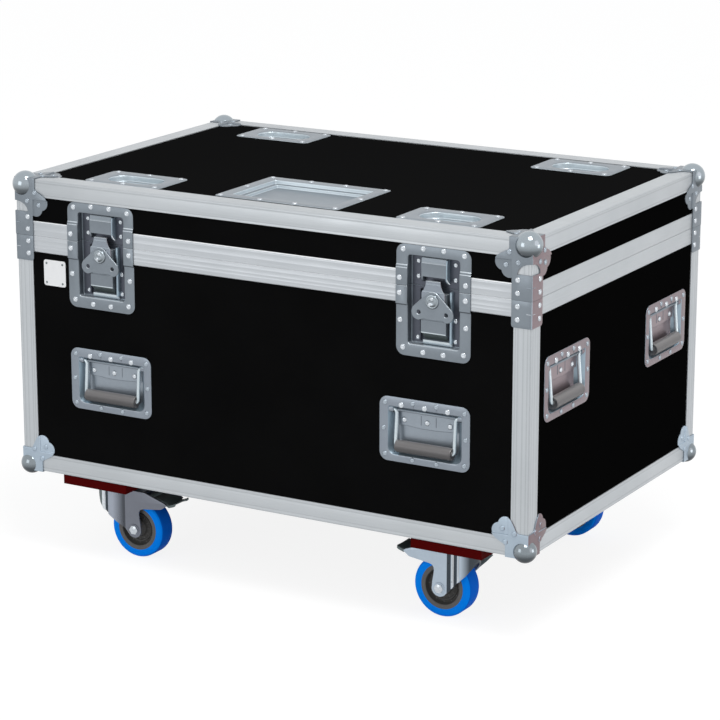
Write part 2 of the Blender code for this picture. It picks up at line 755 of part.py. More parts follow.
def latch_pan(flange, end, crank, direction):
    """Add the pan to a latch half's rim: outside, then hollow, open at the split."""
    start = direction * GAP / 2
    half = PAN_WIDTH / 2
    back = PAN_DEPTH + SHEET
    sheet_middle = -GAP - SHEET / 2
    join(flange, box("pan_deep", (-half - SHEET, sheet_middle, start),
                     (half + SHEET, back, direction * (end + SHEET))))
    join(flange, box("pan_raised", (-half - SHEET, sheet_middle - RAISE, start),
                     (half + SHEET, back / 2, direction * (crank - CRANK_WALL))))
    cut(flange, box("pan_hollow", (-half, -PAN_DEPTH, -direction * OVERRUN),
                    (half, PAN_DEPTH, direction * end)))


def latch_dish_pattern():
    """The latch's lower dish, with the housing that the spindle and hook run in."""
    dish = latch_flange("dish", LATCH_BELOW, CRANK_BELOW, -1)
    latch_pan(dish, PAN_BELOW, CRANK_BELOW, -1)
    floor = PAN_DEPTH + SHEET / 2
    housing = [(-HOUSING_PROUD, -HOUSING_TOP), (floor, -HOUSING_TOP), (floor, -HOUSING_TOE),
               (PAN_DEPTH - SHEET, -HOUSING_TOE), (-HOUSING_PROUD, -HOUSING_BOTTOM)]
    join(dish, extruded("housing", [housing], -HOUSING_WIDTH / 2, HOUSING_WIDTH / 2, "X"))
    for side, word in ((-1, "left"), (1, "right")):
        join(dish, box("rib_" + word, (side * RIB_OFFSET, RIB_SINK, -RIB_TOP),
                       (side * (RIB_OFFSET + RIB_THICKNESS), floor, -RIB_BOTTOM)))
    cut(dish, rod("spindle_bore", (0, -PAN_DEPTH, -SPINDLE_DROP),
                  (0, SPINDLE_DEPTH + GAP, -SPINDLE_DROP), SPINDLE_RADIUS + GAP))
    return pattern(dish)


def latch_keeper_pattern():
    """The latch's upper dish, with the keeper that the hook pulls down on."""
    dish = latch_flange("keeper_dish", LATCH_ABOVE, CRANK_ABOVE, 1)
    latch_pan(dish, PAN_ABOVE, CRANK_ABOVE, 1)
    half = KEEPER_WIDTH / 2
    front = -HOUSING_PROUD
    inside = half - KEEPER_WALL
    back = front + KEEPER_FRONT
    join(dish, box("keeper", (-half, front, KEEPER_LEG_BOTTOM),
                   (half, PAN_DEPTH + SHEET / 2, KEEPER_TOP)))
    cut(dish, box("keeper_inside", (-inside, back, -OVERRUN),
                  (inside, PAN_DEPTH, KEEPER_TOP - KEEPER_WALL)))
    cut(dish, box("keeper_mouth", (-inside, front - OVERRUN, -OVERRUN),
                  (inside, back + OVERRUN, KEEPER_LIP)))
    return pattern(dish)


def hook_pattern():
    """The sliding plate whose tip hooks the keeper, with its slot for the spindle."""
    half, neck, tip = HOOK_WIDTH / 2, HOOK_NECK_WIDTH / 2, HOOK_TIP_WIDTH / 2
    outline = [(-half, -HOOK_FOOT), (half, -HOOK_FOOT), (half, -HOOK_SHOULDER), (neck, 0),
               (tip, HOOK_TIP), (-tip, HOOK_TIP), (-neck, 0), (-half, -HOOK_SHOULDER)]
    back = -HOUSING_PROUD - GAP
    room = SPINDLE_RADIUS + GAP
    slot = rounded((-room, -SPINDLE_DROP - HOOK_TRAVEL - room), (room, -SPINDLE_DROP + room),
                   room / 2, room / 2, CORNER_STEPS // 2)
    return pattern(extruded("hook", [outline, slot], back - HOOK_THICKNESS, back, "Y"))


def wing_pattern():
    """The butterfly wing with its knob and spindle, its axis through the origin along Y."""
    circles = []
    for centre, radius in (
        ((0, 0), WING_HUB_RADIUS),
        ((-WING_LOBE_SPREAD, -WING_LOBE_DROP), WING_LOBE_RADIUS),
        ((WING_LOBE_SPREAD, -WING_LOBE_DROP), WING_LOBE_RADIUS),
    ):
        circles += arc(centre, radius, 0, 360, ROUND_SIDES)[:-1]
    holes = [arc((side * WING_LOBE_SPREAD, -WING_LOBE_DROP), WING_HOLE_RADIUS, 0, 360,
                 ROUND_SIDES // 2)[:-1] for side in (-1, 1)]
    back = -HOUSING_PROUD - 2 * GAP - HOOK_THICKNESS
    front = back - WING_THICKNESS
    wing = extruded("wing", [hull(circles), *holes], front, back, "Y")
    top = front - KNOB_HEIGHT
    middle = (front + back) / 2
    join(wing, rod("knob", (0, middle, 0), (0, top, 0), KNOB_RADIUS))
    join(wing, rod("knob_cap", (0, middle, 0), (0, top - KNOB_CAP_HEIGHT, 0), KNOB_CAP_RADIUS,
                   SMALL_ROUND_SIDES))
    join(wing, rod("spindle", (0, middle, 0), (0, SPINDLE_DEPTH, 0), SPINDLE_RADIUS,
                   SMALL_ROUND_SIDES))
    return pattern(wing)


def latches(lid):
    """Two latches: dish, keeper dish, hook and wing each."""
    dish, keeper = latch_dish_pattern(), latch_keeper_pattern()
    hook, wing = hook_pattern(), wing_pattern()
    for side, word in ((-1, "left"), (1, "right")):
        place = Vector((side * LATCH_OFFSET, FRONT_Y + PANEL_SINK, SPLIT_Z))
        spindle = place - Vector((0, 0, SPINDLE_DROP))
        add_copy("latch_dish_" + word, dish, ZINC, place)
        add_copy("latch_keeper_dish_" + word, keeper, ZINC, place, 0, lid)
        slide = axis_empty("latch_slide_axis_" + word, spindle)
        add_copy("latch_hook_" + word, hook, ZINC, place, 0, slide)
        twist = axis_empty("latch_twist_axis_" + word, spindle)
        add_copy("latch_wing_" + word, wing, ZINC, spindle, 0, twist)


def handle_pivot():
    """Depth and height of a handle's pivot from its dish's centre on the panel's face."""
    return WIRE_DEPTH, HANDLE_PAN_ABOVE - WIRE_HEADROOM - WIRE_RADIUS


def handle_dish_pattern():
    """A handle's dish, with a boss on each side wall that holds an end of the wire."""
    half_x, half_z = HANDLE_WIDTH / 2, HANDLE_HEIGHT / 2
    outline = rounded((-half_x, -half_z), (half_x, half_z), HANDLE_CORNER, HANDLE_CORNER)
    dish = extruded("handle_dish", [outline], -GAP - SHEET, -GAP, "Y")
    half = HANDLE_PAN_WIDTH / 2
    join(dish, box("pan", (-half - SHEET, -GAP - SHEET / 2, -HANDLE_PAN_BELOW - SHEET),
                   (half + SHEET, HANDLE_PAN_DEPTH + SHEET, HANDLE_PAN_ABOVE + SHEET)))
    hollow = rounded((-half, -HANDLE_PAN_BELOW), (half, HANDLE_PAN_ABOVE), HANDLE_PAN_CORNER,
                     HANDLE_PAN_TOP_CORNER, CORNER_STEPS - 1)
    cut(dish, extruded("hollow", [hollow], -HANDLE_PAN_DEPTH, HANDLE_PAN_DEPTH, "Y"))
    depth, height = handle_pivot()
    boss = BOSS_SIZE / 2
    for side, word in ((-1, "left"), (1, "right")):
        inner = side * (half - BOSS_LENGTH)
        join(dish, box("boss_" + word, (inner, depth - boss, height - boss),
                       (side * (half + SHEET / 2), depth + boss,
                        HANDLE_PAN_ABOVE + SHEET / 2)))
        cut(dish, rod("bore_" + word, (inner - side * OVERRUN, depth, height),
                      (side * half, depth, height), WIRE_RADIUS + 2 * GAP))
    return pattern(dish)


def bail_pattern():
    """A handle's wire with its grip, seen from its pivot: the wire's ends lie on local X."""
    depth, height = handle_pivot()
    grip_y, grip_z = GRIP_DEPTH - depth, -GRIP_DROP - height
    half = WIRE_SPAN / 2
    end = HANDLE_PAN_WIDTH / 2 - GAP - WIRE_RADIUS / 2
    bend_share = WIRE_BEND / -grip_z
    side = [(end, 0, 0), (half, 0, 0),
            (half, grip_y * (1 - bend_share), grip_z * (1 - bend_share)),
            (half - WIRE_BEND, grip_y, grip_z)]
    path = [(-x, y, z) for x, y, z in side] + side[::-1]
    curve = bpy.data.curves.new("wire", "CURVE")
    curve.dimensions = "3D"
    curve.bevel_depth = WIRE_RADIUS
    curve.bevel_resolution = 1
    curve.use_fill_caps = True
    spline = curve.splines.new("POLY")
    spline.points.add(len(path) - 1)
    for point, place in zip(spline.points, path):
        point.co = (*place, 1)
    drawn = bpy.data.objects.new("wire_curve", curve)
    CUTTERS.objects.link(drawn)
    shape = bmesh.new()
    shape.from_mesh(mesh_of(drawn))
    bpy.data.objects.remove(drawn, do_unlink=True)
    bmesh.ops.remove_doubles(shape, verts=shape.verts, dist=GAP / 100)
    bail = object_from("bail", shape)
    half_grip = GRIP_LENGTH / 2
    join(bail, rod("grip", (-half_grip, grip_y, grip_z), (half_grip, grip_y, grip_z),
                   GRIP_RADIUS))
    return pattern(bail)


def handle_places():
    """Name, centre on the panel's face, and turn about the vertical of each handle."""
    places = []
    for side, word in ((-1, "left"), (1, "right")):
        places.append(("front_" + word, Vector((
            side * FRONT_HANDLE_OFFSET, FRONT_Y + PANEL_SINK,
            CASE_BOTTOM + FRONT_HANDLE_HEIGHT)), 0))
        for end, place in ((-1, "front"), (1, "rear")):
            places.append((word + "_" + place, Vector((
                side * panel_half(SIDE_X), end * SIDE_HANDLE_OFFSET,
                CASE_BOTTOM + SIDE_HANDLE_HEIGHT)), side * 90))
    return places


def handles():
    """Two handles on the front and two on each side."""
    dish, bail = handle_dish_pattern(), bail_pattern()
    depth, height = handle_pivot()
    for word, place, turn in handle_places():
        add_copy("handle_dish_" + word, dish, ZINC, place, turn)
        pivot = place + Matrix.Rotation(radians(turn), 3, "Z") @ Vector((0, depth, height))
        swing = axis_empty("handle_axis_" + word, pivot)
        add_copy("handle_bail_" + word, bail, ZINC, pivot, turn, swing)


def stack_places():
    """Name and centre of each stacking dish."""
    return [(("front" if y < 0 else "rear") + ("_left" if x < 0 else "_right"),
             x * STACK_OFFSET_X, y * STACK_OFFSET_Y) for y in (-1, 1) for x in (-1, 1)]


def slot_outline(length, width):
    """A slot with two round ends along X."""
    reach = (length - width) / 2
    return (arc((reach, 0), width / 2, -90, 90, SLOT_END_STEPS)
            + arc((-reach, 0), width / 2, 90, 270, SLOT_END_STEPS))


def lid_dishes(carrier):
    """Four stacking dishes and the larger stepped dish at the front of the lid's top."""
    half_x, half_y = STACK_WIDTH / 2, STACK_DEPTH / 2
    outline = rounded((-half_x, -half_y), (half_x, half_y), STACK_CORNER, STACK_CORNER,
                      CORNER_STEPS - 1)
    dish = extruded("stack", [outline], GAP, GAP + SHEET, "Z")
    outside = slot_outline(STACK_SLOT_LENGTH + 2 * SHEET, STACK_SLOT_WIDTH + 2 * SHEET)
    join(dish, extruded("stack_pan", [outside], -STACK_SLOT_DEPTH - SHEET, GAP + SHEET / 2, "Z"))
    inside = slot_outline(STACK_SLOT_LENGTH, STACK_SLOT_WIDTH)
    cut(dish, extruded("stack_hollow", [inside], -STACK_SLOT_DEPTH, STACK_SLOT_DEPTH, "Z"))
    mesh = pattern(dish)
    height = CASE_TOP - PANEL_SINK
    for word, x, y in stack_places():
        add_copy("stacking_dish_" + word, mesh, ZINC, (x, y, height), 0, carrier)
    half_x, half_y = LABEL_WIDTH / 2, LABEL_DEPTH / 2
    outline = rounded((-half_x, -half_y), (half_x, half_y), LABEL_CORNER, LABEL_CORNER,
                      CORNER_STEPS - 1)
    dish = extruded("label", [outline], GAP, GAP + SHEET, "Z")
    step_x, step_y = LABEL_STEP_WIDTH / 2, LABEL_STEP_DEPTH / 2
    floor_x, floor_y = LABEL_FLOOR_WIDTH / 2, LABEL_FLOOR_DEPTH / 2
    join(dish, box("label_step", (-step_x - SHEET, -step_y - SHEET, -LABEL_STEP_SINK - SHEET),
                   (step_x + SHEET, step_y + SHEET, GAP + SHEET / 2)))
    join(dish, box("label_pan", (-floor_x - SHEET, -floor_y - SHEET, -LABEL_FLOOR_SINK - SHEET),
                   (floor_x + SHEET, floor_y + SHEET, -LABEL_STEP_SINK)))
    cut(dish, box("label_step_hollow", (-step_x, -step_y, -LABEL_STEP_SINK),
                  (step_x, step_y, OVERRUN)))
    cut(dish, box("label_floor_hollow", (-floor_x, -floor_y, -LABEL_FLOOR_SINK),
                  (floor_x, floor_y, OVERRUN)))
    add_copy("label_dish", pattern(dish), ZINC, (0, -LABEL_OFFSET_Y, height), 0, carrier)


def hinge(carrier):
    """Two leaves with turn-about knuckles; the pin belongs to the body's leaf."""
    start = -HINGE_LENGTH / 2
    length = HINGE_LENGTH / HINGE_KNUCKLES
    face = -FRONT_Y + GAP
    for word, direction, parity in (("body", -1, 0), ("lid", 1, 1)):
        near = SPLIT_Z + direction * (KNUCKLE_RADIUS + 2 * GAP)
        far = SPLIT_Z + direction * HINGE_LEAF_HEIGHT
        leaf = box("leaf_" + word, (start, face, near), (-start, face + SHEET, far))
        for number in range(parity, HINGE_KNUCKLES, 2):
            low = start + number * length + GAP / 2
            high = low + length - GAP
            label = word + "_" + str(number)
            join(leaf, box("web_" + label, (low, face, SPLIT_Z + direction * GAP),
                           (high, face + SHEET, near + direction * SHEET)))
            join(leaf, rod("knuckle_" + label, (low, HINGE_Y, SPLIT_Z), (high, HINGE_Y, SPLIT_Z),
                           KNUCKLE_RADIUS, SMALL_ROUND_SIDES))
        pin_end = -start - GAP
        if word == "body":
            join(leaf, rod("hinge_pin", (-pin_end, HINGE_Y, SPLIT_Z), (pin_end, HINGE_Y, SPLIT_Z),
                           HINGE_PIN_RADIUS, SMALL_ROUND_SIDES))
        else:
            cut(leaf, rod("pin_bore", (-pin_end, HINGE_Y, SPLIT_Z), (pin_end, HINGE_Y, SPLIT_Z),
                          HINGE_PIN_RADIUS + GAP))
        add_piece("hinge_leaf_" + word, leaf, ALUMINIUM, carrier if word == "lid" else None)


def castor_plate_pattern():
    """A castor's top plate with its race, kingpin and nut, under a board at local z = 0."""
    half_x, half_y = CASTOR_PLATE_LENGTH / 2, CASTOR_PLATE_WIDTH / 2
    low = -GAP - CASTOR_PLATE_THICKNESS
    outline = rounded((-half_x, -half_y), (half_x, half_y), FORK_HEAD, FORK_HEAD, 2)
    plate = extruded("castor_plate", [outline], low, -GAP, "Z")
    race = low - RACE_HEIGHT
    under_head = race - GAP - FORK_HEAD - GAP
    middle = (low - GAP) / 2
    join(plate, rod("race", (0, 0, middle), (0, 0, race), RACE_RADIUS))
    join(plate, rod("kingpin", (0, 0, middle), (0, 0, under_head - KINGPIN_NUT_HEIGHT),
                    KINGPIN_RADIUS, SMALL_ROUND_SIDES))
    join(plate, rod("nut", (0, 0, under_head), (0, 0, under_head - KINGPIN_NUT_HEIGHT),
                    KINGPIN_NUT_RADIUS, SMALL_ROUND_SIDES // 2))
    return pattern(plate)


def fork_top():
    """Height of the fork's top under the board."""
    return -GAP - CASTOR_PLATE_THICKNESS - RACE_HEIGHT - GAP


def axle_place():
    """The axle's position from the kingpin under the board."""
    return Vector((-CASTOR_TRAIL, 0, WHEEL_RADIUS - CASTOR_HEIGHT))


def fork_pattern():
    """The pressed fork: two cheeks with horns, joined round the kingpin side, and the axle."""
    top = fork_top()
    axle = axle_place()
    foot = arc((axle.x, axle.z), FORK_FOOT_RADIUS, 180, 310, 2 * CORNER_STEPS)
    round_x = FORK_WIDTH / 2 - FORK_ROUND_OFFSET
    cheek = [(-FORK_HEAD_REACH, top), (-FORK_HORN_REACH, -FORK_HORN_TOP),
             (-FORK_HORN_HEEL, -FORK_HORN_BOTTOM), (-FORK_ARCH_START, -FORK_ARCH_TOP),
             (-FORK_LEG_REACH, -FORK_LEG_TOP)]
    cheek += foot + [(round_x + OVERRUN, -FORK_DIAGONAL_TOP + OVERRUN), (round_x + OVERRUN, top)]
    half = FORK_WIDTH / 2
    fork = extruded("fork", [cheek], -half, half, "Y")

    def plan(inset, tail):
        radius = half - inset
        return [(tail, radius), (tail, -radius)] + arc((-FORK_ROUND_OFFSET, 0), radius, -90, 90,
                                                       2 * CORNER_STEPS)

    low = -CASTOR_HEIGHT
    tail = -FORK_HORN_REACH - OVERRUN
    modify(fork, extruded("fork_plan", [plan(0, tail)], low, 0, "Z"), "INTERSECT")
    cut(fork, extruded("fork_inside", [plan(FORK_SHEET, tail - OVERRUN)], low - OVERRUN,
                       top - FORK_HEAD, "Z"))
    inner = half - FORK_SHEET
    cut(fork, box("fork_open_back", (tail - OVERRUN, -inner, low), (-FORK_OPEN_BACK, inner, 0)))
    cut(fork, rod("kingpin_bore", (0, 0, 0), (0, 0, top - FORK_HEAD - OVERRUN),
                  KINGPIN_RADIUS + GAP))
    pivot = (-PEDAL_PIVOT_BACK, -PEDAL_PIVOT_DROP)
    cut(fork, rod("pedal_bore", (pivot[0], -half - OVERRUN, pivot[1]),
                  (pivot[0], half + OVERRUN, pivot[1]), PEDAL_PIN_RADIUS + GAP,
                  SMALL_ROUND_SIDES))
    join(fork, rod("axle", (axle.x, -half, axle.z), (axle.x, half, axle.z), AXLE_RADIUS,
                   SMALL_ROUND_SIDES))
    for side, word in ((-1, "front"), (1, "rear")):
        join(fork, rod("axle_head_" + word, (axle.x, side * inner, axle.z),
                       (axle.x, side * (half + AXLE_HEAD_HEIGHT), axle.z), AXLE_HEAD_RADIUS,
                       SMALL_ROUND_SIDES // 2))
    return pattern(fork)


def wheel_pattern():
    """A turned wheel on an axle along local Y, whose flats touch the floor at rest."""
    grow = 1 / cos(pi / WHEEL_SIDES)
    half = WHEEL_WIDTH / 2
    boss = FORK_WIDTH / 2 - FORK_SHEET - WHEEL_BOSS_PLAY
    bore = AXLE_RADIUS + GAP
    rim = WHEEL_RADIUS * grow
    outline = [(bore, boss), (WHEEL_BOSS_RADIUS, boss), (WHEEL_BOSS_RADIUS, WHEEL_WEB_WIDTH / 2),
               (WHEEL_WEB_RADIUS, WHEEL_WEB_WIDTH / 2), (WHEEL_RIM_RADIUS, half),
               (rim - TYRE_SHOULDER, half), (rim, half - TYRE_SHOULDER)]
    outline += [(radius, -width) for radius, width in reversed(outline)]
    shape = bmesh.new()
    corners = [shape.verts.new((radius, 0, width)) for radius, width in outline]
    for number, corner in enumerate(corners):
        shape.edges.new((corner, corners[(number + 1) % len(corners)]))
    mesh = bpy.data.meshes.new("wheel_profile")
    shape.to_mesh(mesh)
    shape.free()
    turned = bpy.data.objects.new("wheel_profile", mesh)
    CUTTERS.objects.link(turned)
    screw = turned.modifiers.new("turn", "SCREW")
    screw.steps = WHEEL_SIDES
    screw.render_steps = WHEEL_SIDES
    screw.use_merge_vertices = True
    screw.merge_threshold = GAP / 100
    shape = bmesh.new()
    shape.from_mesh(mesh_of(turned))
    bpy.data.objects.remove(turned, do_unlink=True)
    shape.transform(Matrix.Rotation(radians(-90), 4, "X"))
    return pattern(object_from("wheel", shape))


def pedal_pattern():
    """A brake pedal on its pivot along local Y: tread, sleeve, shoe and the pivot's pin."""
    half = PEDAL_WIDTH / 2
    heel = (PEDAL_PIVOT_BACK - PEDAL_HEEL_REACH, PEDAL_PIVOT_DROP - PEDAL_HEEL_DROP)
    tip = (PEDAL_PIVOT_BACK - PEDAL_TIP_REACH, PEDAL_PIVOT_DROP - PEDAL_TIP_DROP)
    thick = PEDAL_THICKNESS
    tread = [(0, -thick / 2), (0, thick / 2), (heel[0], heel[1] + thick), (tip[0], tip[1] + thick),
             tip, heel]
    pedal = extruded("pedal", [tread], -half, half, "Y")
    join(pedal, rod("sleeve", (0, -half, 0), (0, half, 0), PEDAL_PIVOT_RADIUS, SMALL_ROUND_SIDES))
    shoe = PEDAL_SHOE_WIDTH / 2
    join(pedal, box("shoe", (-shoe, -WHEEL_WIDTH / 2, 0), (shoe, WHEEL_WIDTH / 2,
                                                          -PEDAL_SHOE_LENGTH)))
    pin = FORK_WIDTH / 2 - FORK_SHEET / 2
    join(pedal, rod("pivot_pin", (0, -pin, 0), (0, pin, 0), PEDAL_PIN_RADIUS,
                    SMALL_ROUND_SIDES))
    return pattern(pedal)


def castors():
    """Boards, castor plates, forks, wheels and the front brakes."""
    plate, fork = castor_plate_pattern(), fork_pattern()
    wheel, pedal = wheel_pattern(), pedal_pattern()
    for side, word in ((-1, "left"), (1, "right")):
        middle = side * CASTOR_OFFSET_X
        reach = -FRONT_Y - BOARD_INSET
        board = box("board", (middle - BOARD_WIDTH / 2, -reach, CASTOR_HEIGHT),
                    (middle + BOARD_WIDTH / 2, reach, CASTOR_HEIGHT + BOARD_THICKNESS))
        add_piece("castor_board_" + word, board, RED_PLYWOOD)
    for end, place in ((-1, "front"), (1, "rear")):
        for side, word in ((-1, "left"), (1, "right")):
            label = place + "_" + word
            turn = 0 if side > 0 else 180
            base = Vector((side * CASTOR_OFFSET_X, end * CASTOR_OFFSET_Y, CASTOR_HEIGHT))
            facing = Matrix.Rotation(radians(turn), 3, "Z")
            add_copy("castor_plate_" + label, plate, ZINC, base, turn)
            swivel = axis_empty("castor_swivel_axis_" + label, base)
            add_copy("castor_fork_" + label, fork, ZINC, base, turn, swivel)
            hub = base + facing @ axle_place()
            axle = axis_empty("castor_axle_" + label, hub, swivel)
            add_copy("castor_wheel_" + label, wheel, BLUE_TYRE, hub, turn, axle)
            if end < 0:
                offset = Vector((-PEDAL_PIVOT_BACK, 0, -PEDAL_PIVOT_DROP))
                pivot = base + facing @ offset
                pin = axis_empty("brake_axis_" + label, pivot, swivel)
                add_copy("brake_pedal_" + word, pedal, DARK_STEEL, pivot, turn, pin)


def main():
    """Build the whole case."""
    lid = axis_empty("lid_axis", Vector((0, HINGE_Y, SPLIT_Z)))
    body_panels()
    body_frame()
    lid_panels(lid)
    lid_frame(lid)
    ball_corners(lid)
    latches(lid)
    handles()
    lid_dishes(lid)
    hinge(lid)
    castors()


main()
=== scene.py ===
"""Looks of the lighting flight case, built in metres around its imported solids.

The case stands on z = 0 with its front towards -Y. Dishes, latches and handles are
laid out flat first: local X runs along the face, local Y into the case and local Z up.
"""

import logging
import math
from collections.abc import Callable, Iterable, Sequence
from dataclasses import dataclass
from enum import Enum

import bmesh
import bpy
from mathutils import Matrix, Vector


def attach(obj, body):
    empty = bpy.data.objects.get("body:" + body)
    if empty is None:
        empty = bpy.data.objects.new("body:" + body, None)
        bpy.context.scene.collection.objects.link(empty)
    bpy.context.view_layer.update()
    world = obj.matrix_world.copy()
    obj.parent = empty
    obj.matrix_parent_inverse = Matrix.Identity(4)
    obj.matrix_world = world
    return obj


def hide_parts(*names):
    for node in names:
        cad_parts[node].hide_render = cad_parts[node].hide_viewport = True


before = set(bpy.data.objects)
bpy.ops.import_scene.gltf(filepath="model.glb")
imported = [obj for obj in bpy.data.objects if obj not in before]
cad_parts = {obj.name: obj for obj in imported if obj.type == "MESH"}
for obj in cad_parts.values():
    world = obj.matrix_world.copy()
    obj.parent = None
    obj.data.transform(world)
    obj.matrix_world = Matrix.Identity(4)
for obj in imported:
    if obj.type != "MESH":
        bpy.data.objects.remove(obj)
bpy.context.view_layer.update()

log = logging.getLogger("flight_case")

Pair = tuple[float, float]
Triple = tuple[float, float, float]
PaintedLight = tuple[str, float, float, Triple]
Ring = list[Vector]
Fold = Callable[[float, float, float], Vector]
Flap = tuple[list[Pair], Fold]
Socket = bpy.types.NodeSocket
Shape = bmesh.types.BMesh
Face = bmesh.types.BMFace
Choice = Callable[[Face], str]

# The case that every sub-assembly is set on
HALF_X = 0.470
HALF_Y = 0.311
CASE_BOTTOM = 0.1453
CASE_TOP = 0.6403
SPLIT_Z = 0.5463
GAP = 0.0003
SHEET = 0.0012
PROUD = 0.0015
PANEL_X = 0.4679
PANEL_Y = 0.3089
PANEL_TOP = 0.6382
SIDES = (("left", -1), ("right", 1))
CORNERS = (("front_right", 1, -1), ("rear_right", 1, 1), ("rear_left", -1, 1),
           ("front_left", -1, -1))
FRONT = (0, -1, 0)

# How meshes are put together
WELD = 0.000002
SHARP = math.radians(60)
STEEP = 0.75
SHEET_RIM = 0.0004
RIVET_SINK = 0.0006
RIVET_DOME = ((1.0, 0.12), (0.93, 0.42), (0.74, 0.76), (0.5, 0.95), (0.3, 1.0), (0.22, 0.9),
              (0.0, 0.88))


class Axis(Enum):
    """The direction in which a profile was drawn or a sheet was rolled."""

    X = (6.0, 700.0, 700.0)
    Y = (700.0, 6.0, 700.0)
    Z = (700.0, 700.0, 6.0)
    NONE = (190.0, 190.0, 190.0)


# --------------------------------------------------------------------------- finishes


class Nodes:
    """A tree of shader nodes in the making."""

    def __init__(self, tree: bpy.types.NodeTree) -> None:
        """Start with the tree that takes the nodes."""
        self.tree = tree

    def node(self, kind: str, links: dict | None = None, **values: object) -> bpy.types.Node:
        """Add a node.

        Args:
            kind: the node's type.
            links: input names or numbers with the sockets or constants they take.
            values: attributes of the node itself.

        Returns:
            The new node.
        """
        node = self.tree.nodes.new(kind)
        for key, value in values.items():
            setattr(node, key, value)
        for key, value in (links or {}).items():
            self.feed(node.inputs[key], value)
        return node

    def feed(self, socket: Socket, value: object) -> None:
        """Link a socket to an input, or give the input a constant."""
        if isinstance(value, Socket):
            self.tree.links.new(value, socket)
        else:
            socket.default_value = value

    def seen(self) -> Socket:
        """Return 1 for what shows in the picture, in a reflection or through glass, else 0."""
        path = self.node("ShaderNodeLightPath").outputs
        seen = path["Is Camera Ray"]
        for ray in ("Is Glossy Ray", "Is Transmission Ray"):
            seen = self.node("ShaderNodeMath", {0: seen, 1: path[ray]},
                             operation="MAXIMUM").outputs[0]
        return seen


class Recipe(Nodes):
    """A material's nodes in the making."""

    def __init__(self, name: str) -> None:
        """Start a Principled material with that name."""
        self.material = bpy.data.materials.new(name)
        self.material.use_nodes = True
        super().__init__(self.material.node_tree)
        self.shader = self.tree.nodes["Principled BSDF"]
        places = self.node("ShaderNodeTexCoord").outputs
        self.place, self.facing = places["Object"], places["Normal"]

    def noise(self, stretch: Triple, detail: float = 4.0, rough: float = 0.6,
              shift: Triple = (0, 0, 0)) -> Socket:
        """Noise whose cells are stretched along one direction.

        Args:
            stretch: cells per metre along each axis.
            detail: octaves of the noise.
            rough: weight of the finer octaves.
            shift: moves the pattern, so that two noises differ.

        Returns:
            The noise's value.
        """
        mapped = self.node("ShaderNodeMapping",
                           {"Vector": self.place, "Scale": stretch, "Location": shift})
        links = {"Vector": mapped.outputs[0], "Scale": 1.0, "Detail": detail, "Roughness": rough}
        return self.node("ShaderNodeTexNoise", links).outputs["Fac"]

    def ranged(self, value: Socket, low: float, high: float,
               start: float = 0.3, end: float = 0.7) -> Socket:
        """Spread a value from start..end over low..high, and return the new value."""
        return self.node("ShaderNodeMapRange", {"Value": value, "From Min": start,
                                                "From Max": end, "To Min": low,
                                                "To Max": high}).outputs[0]

    def part(self, vector: Socket, axis: str) -> Socket:
        """Return a vector's part along an axis."""
        return self.node("ShaderNodeSeparateXYZ", {0: vector}).outputs[axis]

    def mix(self, share: Socket, first: Triple | Socket, second: Triple | Socket) -> Socket:
        """Mix two colours by a share, and return the mixed colour."""
        first, second = (tone if isinstance(tone, Socket) else (*tone, 1)
                         for tone in (first, second))
        return self.node("ShaderNodeMix", {0: share, 6: first, 7: second},
                         data_type="RGBA").outputs[2]

    def painted_lights(self, painted_lights: Sequence[PaintedLight], tone: Socket) -> Socket:
        """Paint light and shade: give faces that look along an axis a lighter or darker colour.

        Args:
            painted_lights: axis, where it starts, where it is full and the colour of each.
            tone: the colour of all other faces.

        Returns:
            The mixed colour.
        """
        for axis, start, end, colour in painted_lights:
            share = self.ranged(self.part(self.facing, axis), 0.0, 1.0, start, end)
            tone = self.mix(share, tone, colour)
        return tone

    def bump(self, height: Socket, distance: float, under: Socket | None = None) -> Socket:
        """Turn a height into a normal.

        Args:
            height: the relief from 0 to 1.
            distance: the relief's depth in metres.
            under: a normal that the relief lies on.

        Returns:
            The bent normal.
        """
        links = {"Height": height, "Strength": 1.0, "Distance": distance}
        if under:
            links["Normal"] = under
        return self.node("ShaderNodeBump", links).outputs[0]

    def dress(self, **sockets: object) -> bpy.types.Material:
        """Feed the shader, with _ for a space in its sockets' names, and return the material."""
        for key, value in sockets.items():
            self.feed(self.shader.inputs[key.replace("_", " ")], value)
        return self.material


def scaled(values: Sequence[float], share: float) -> Triple:
    """Return three values, each times a share."""
    return tuple(value * share for value in values)


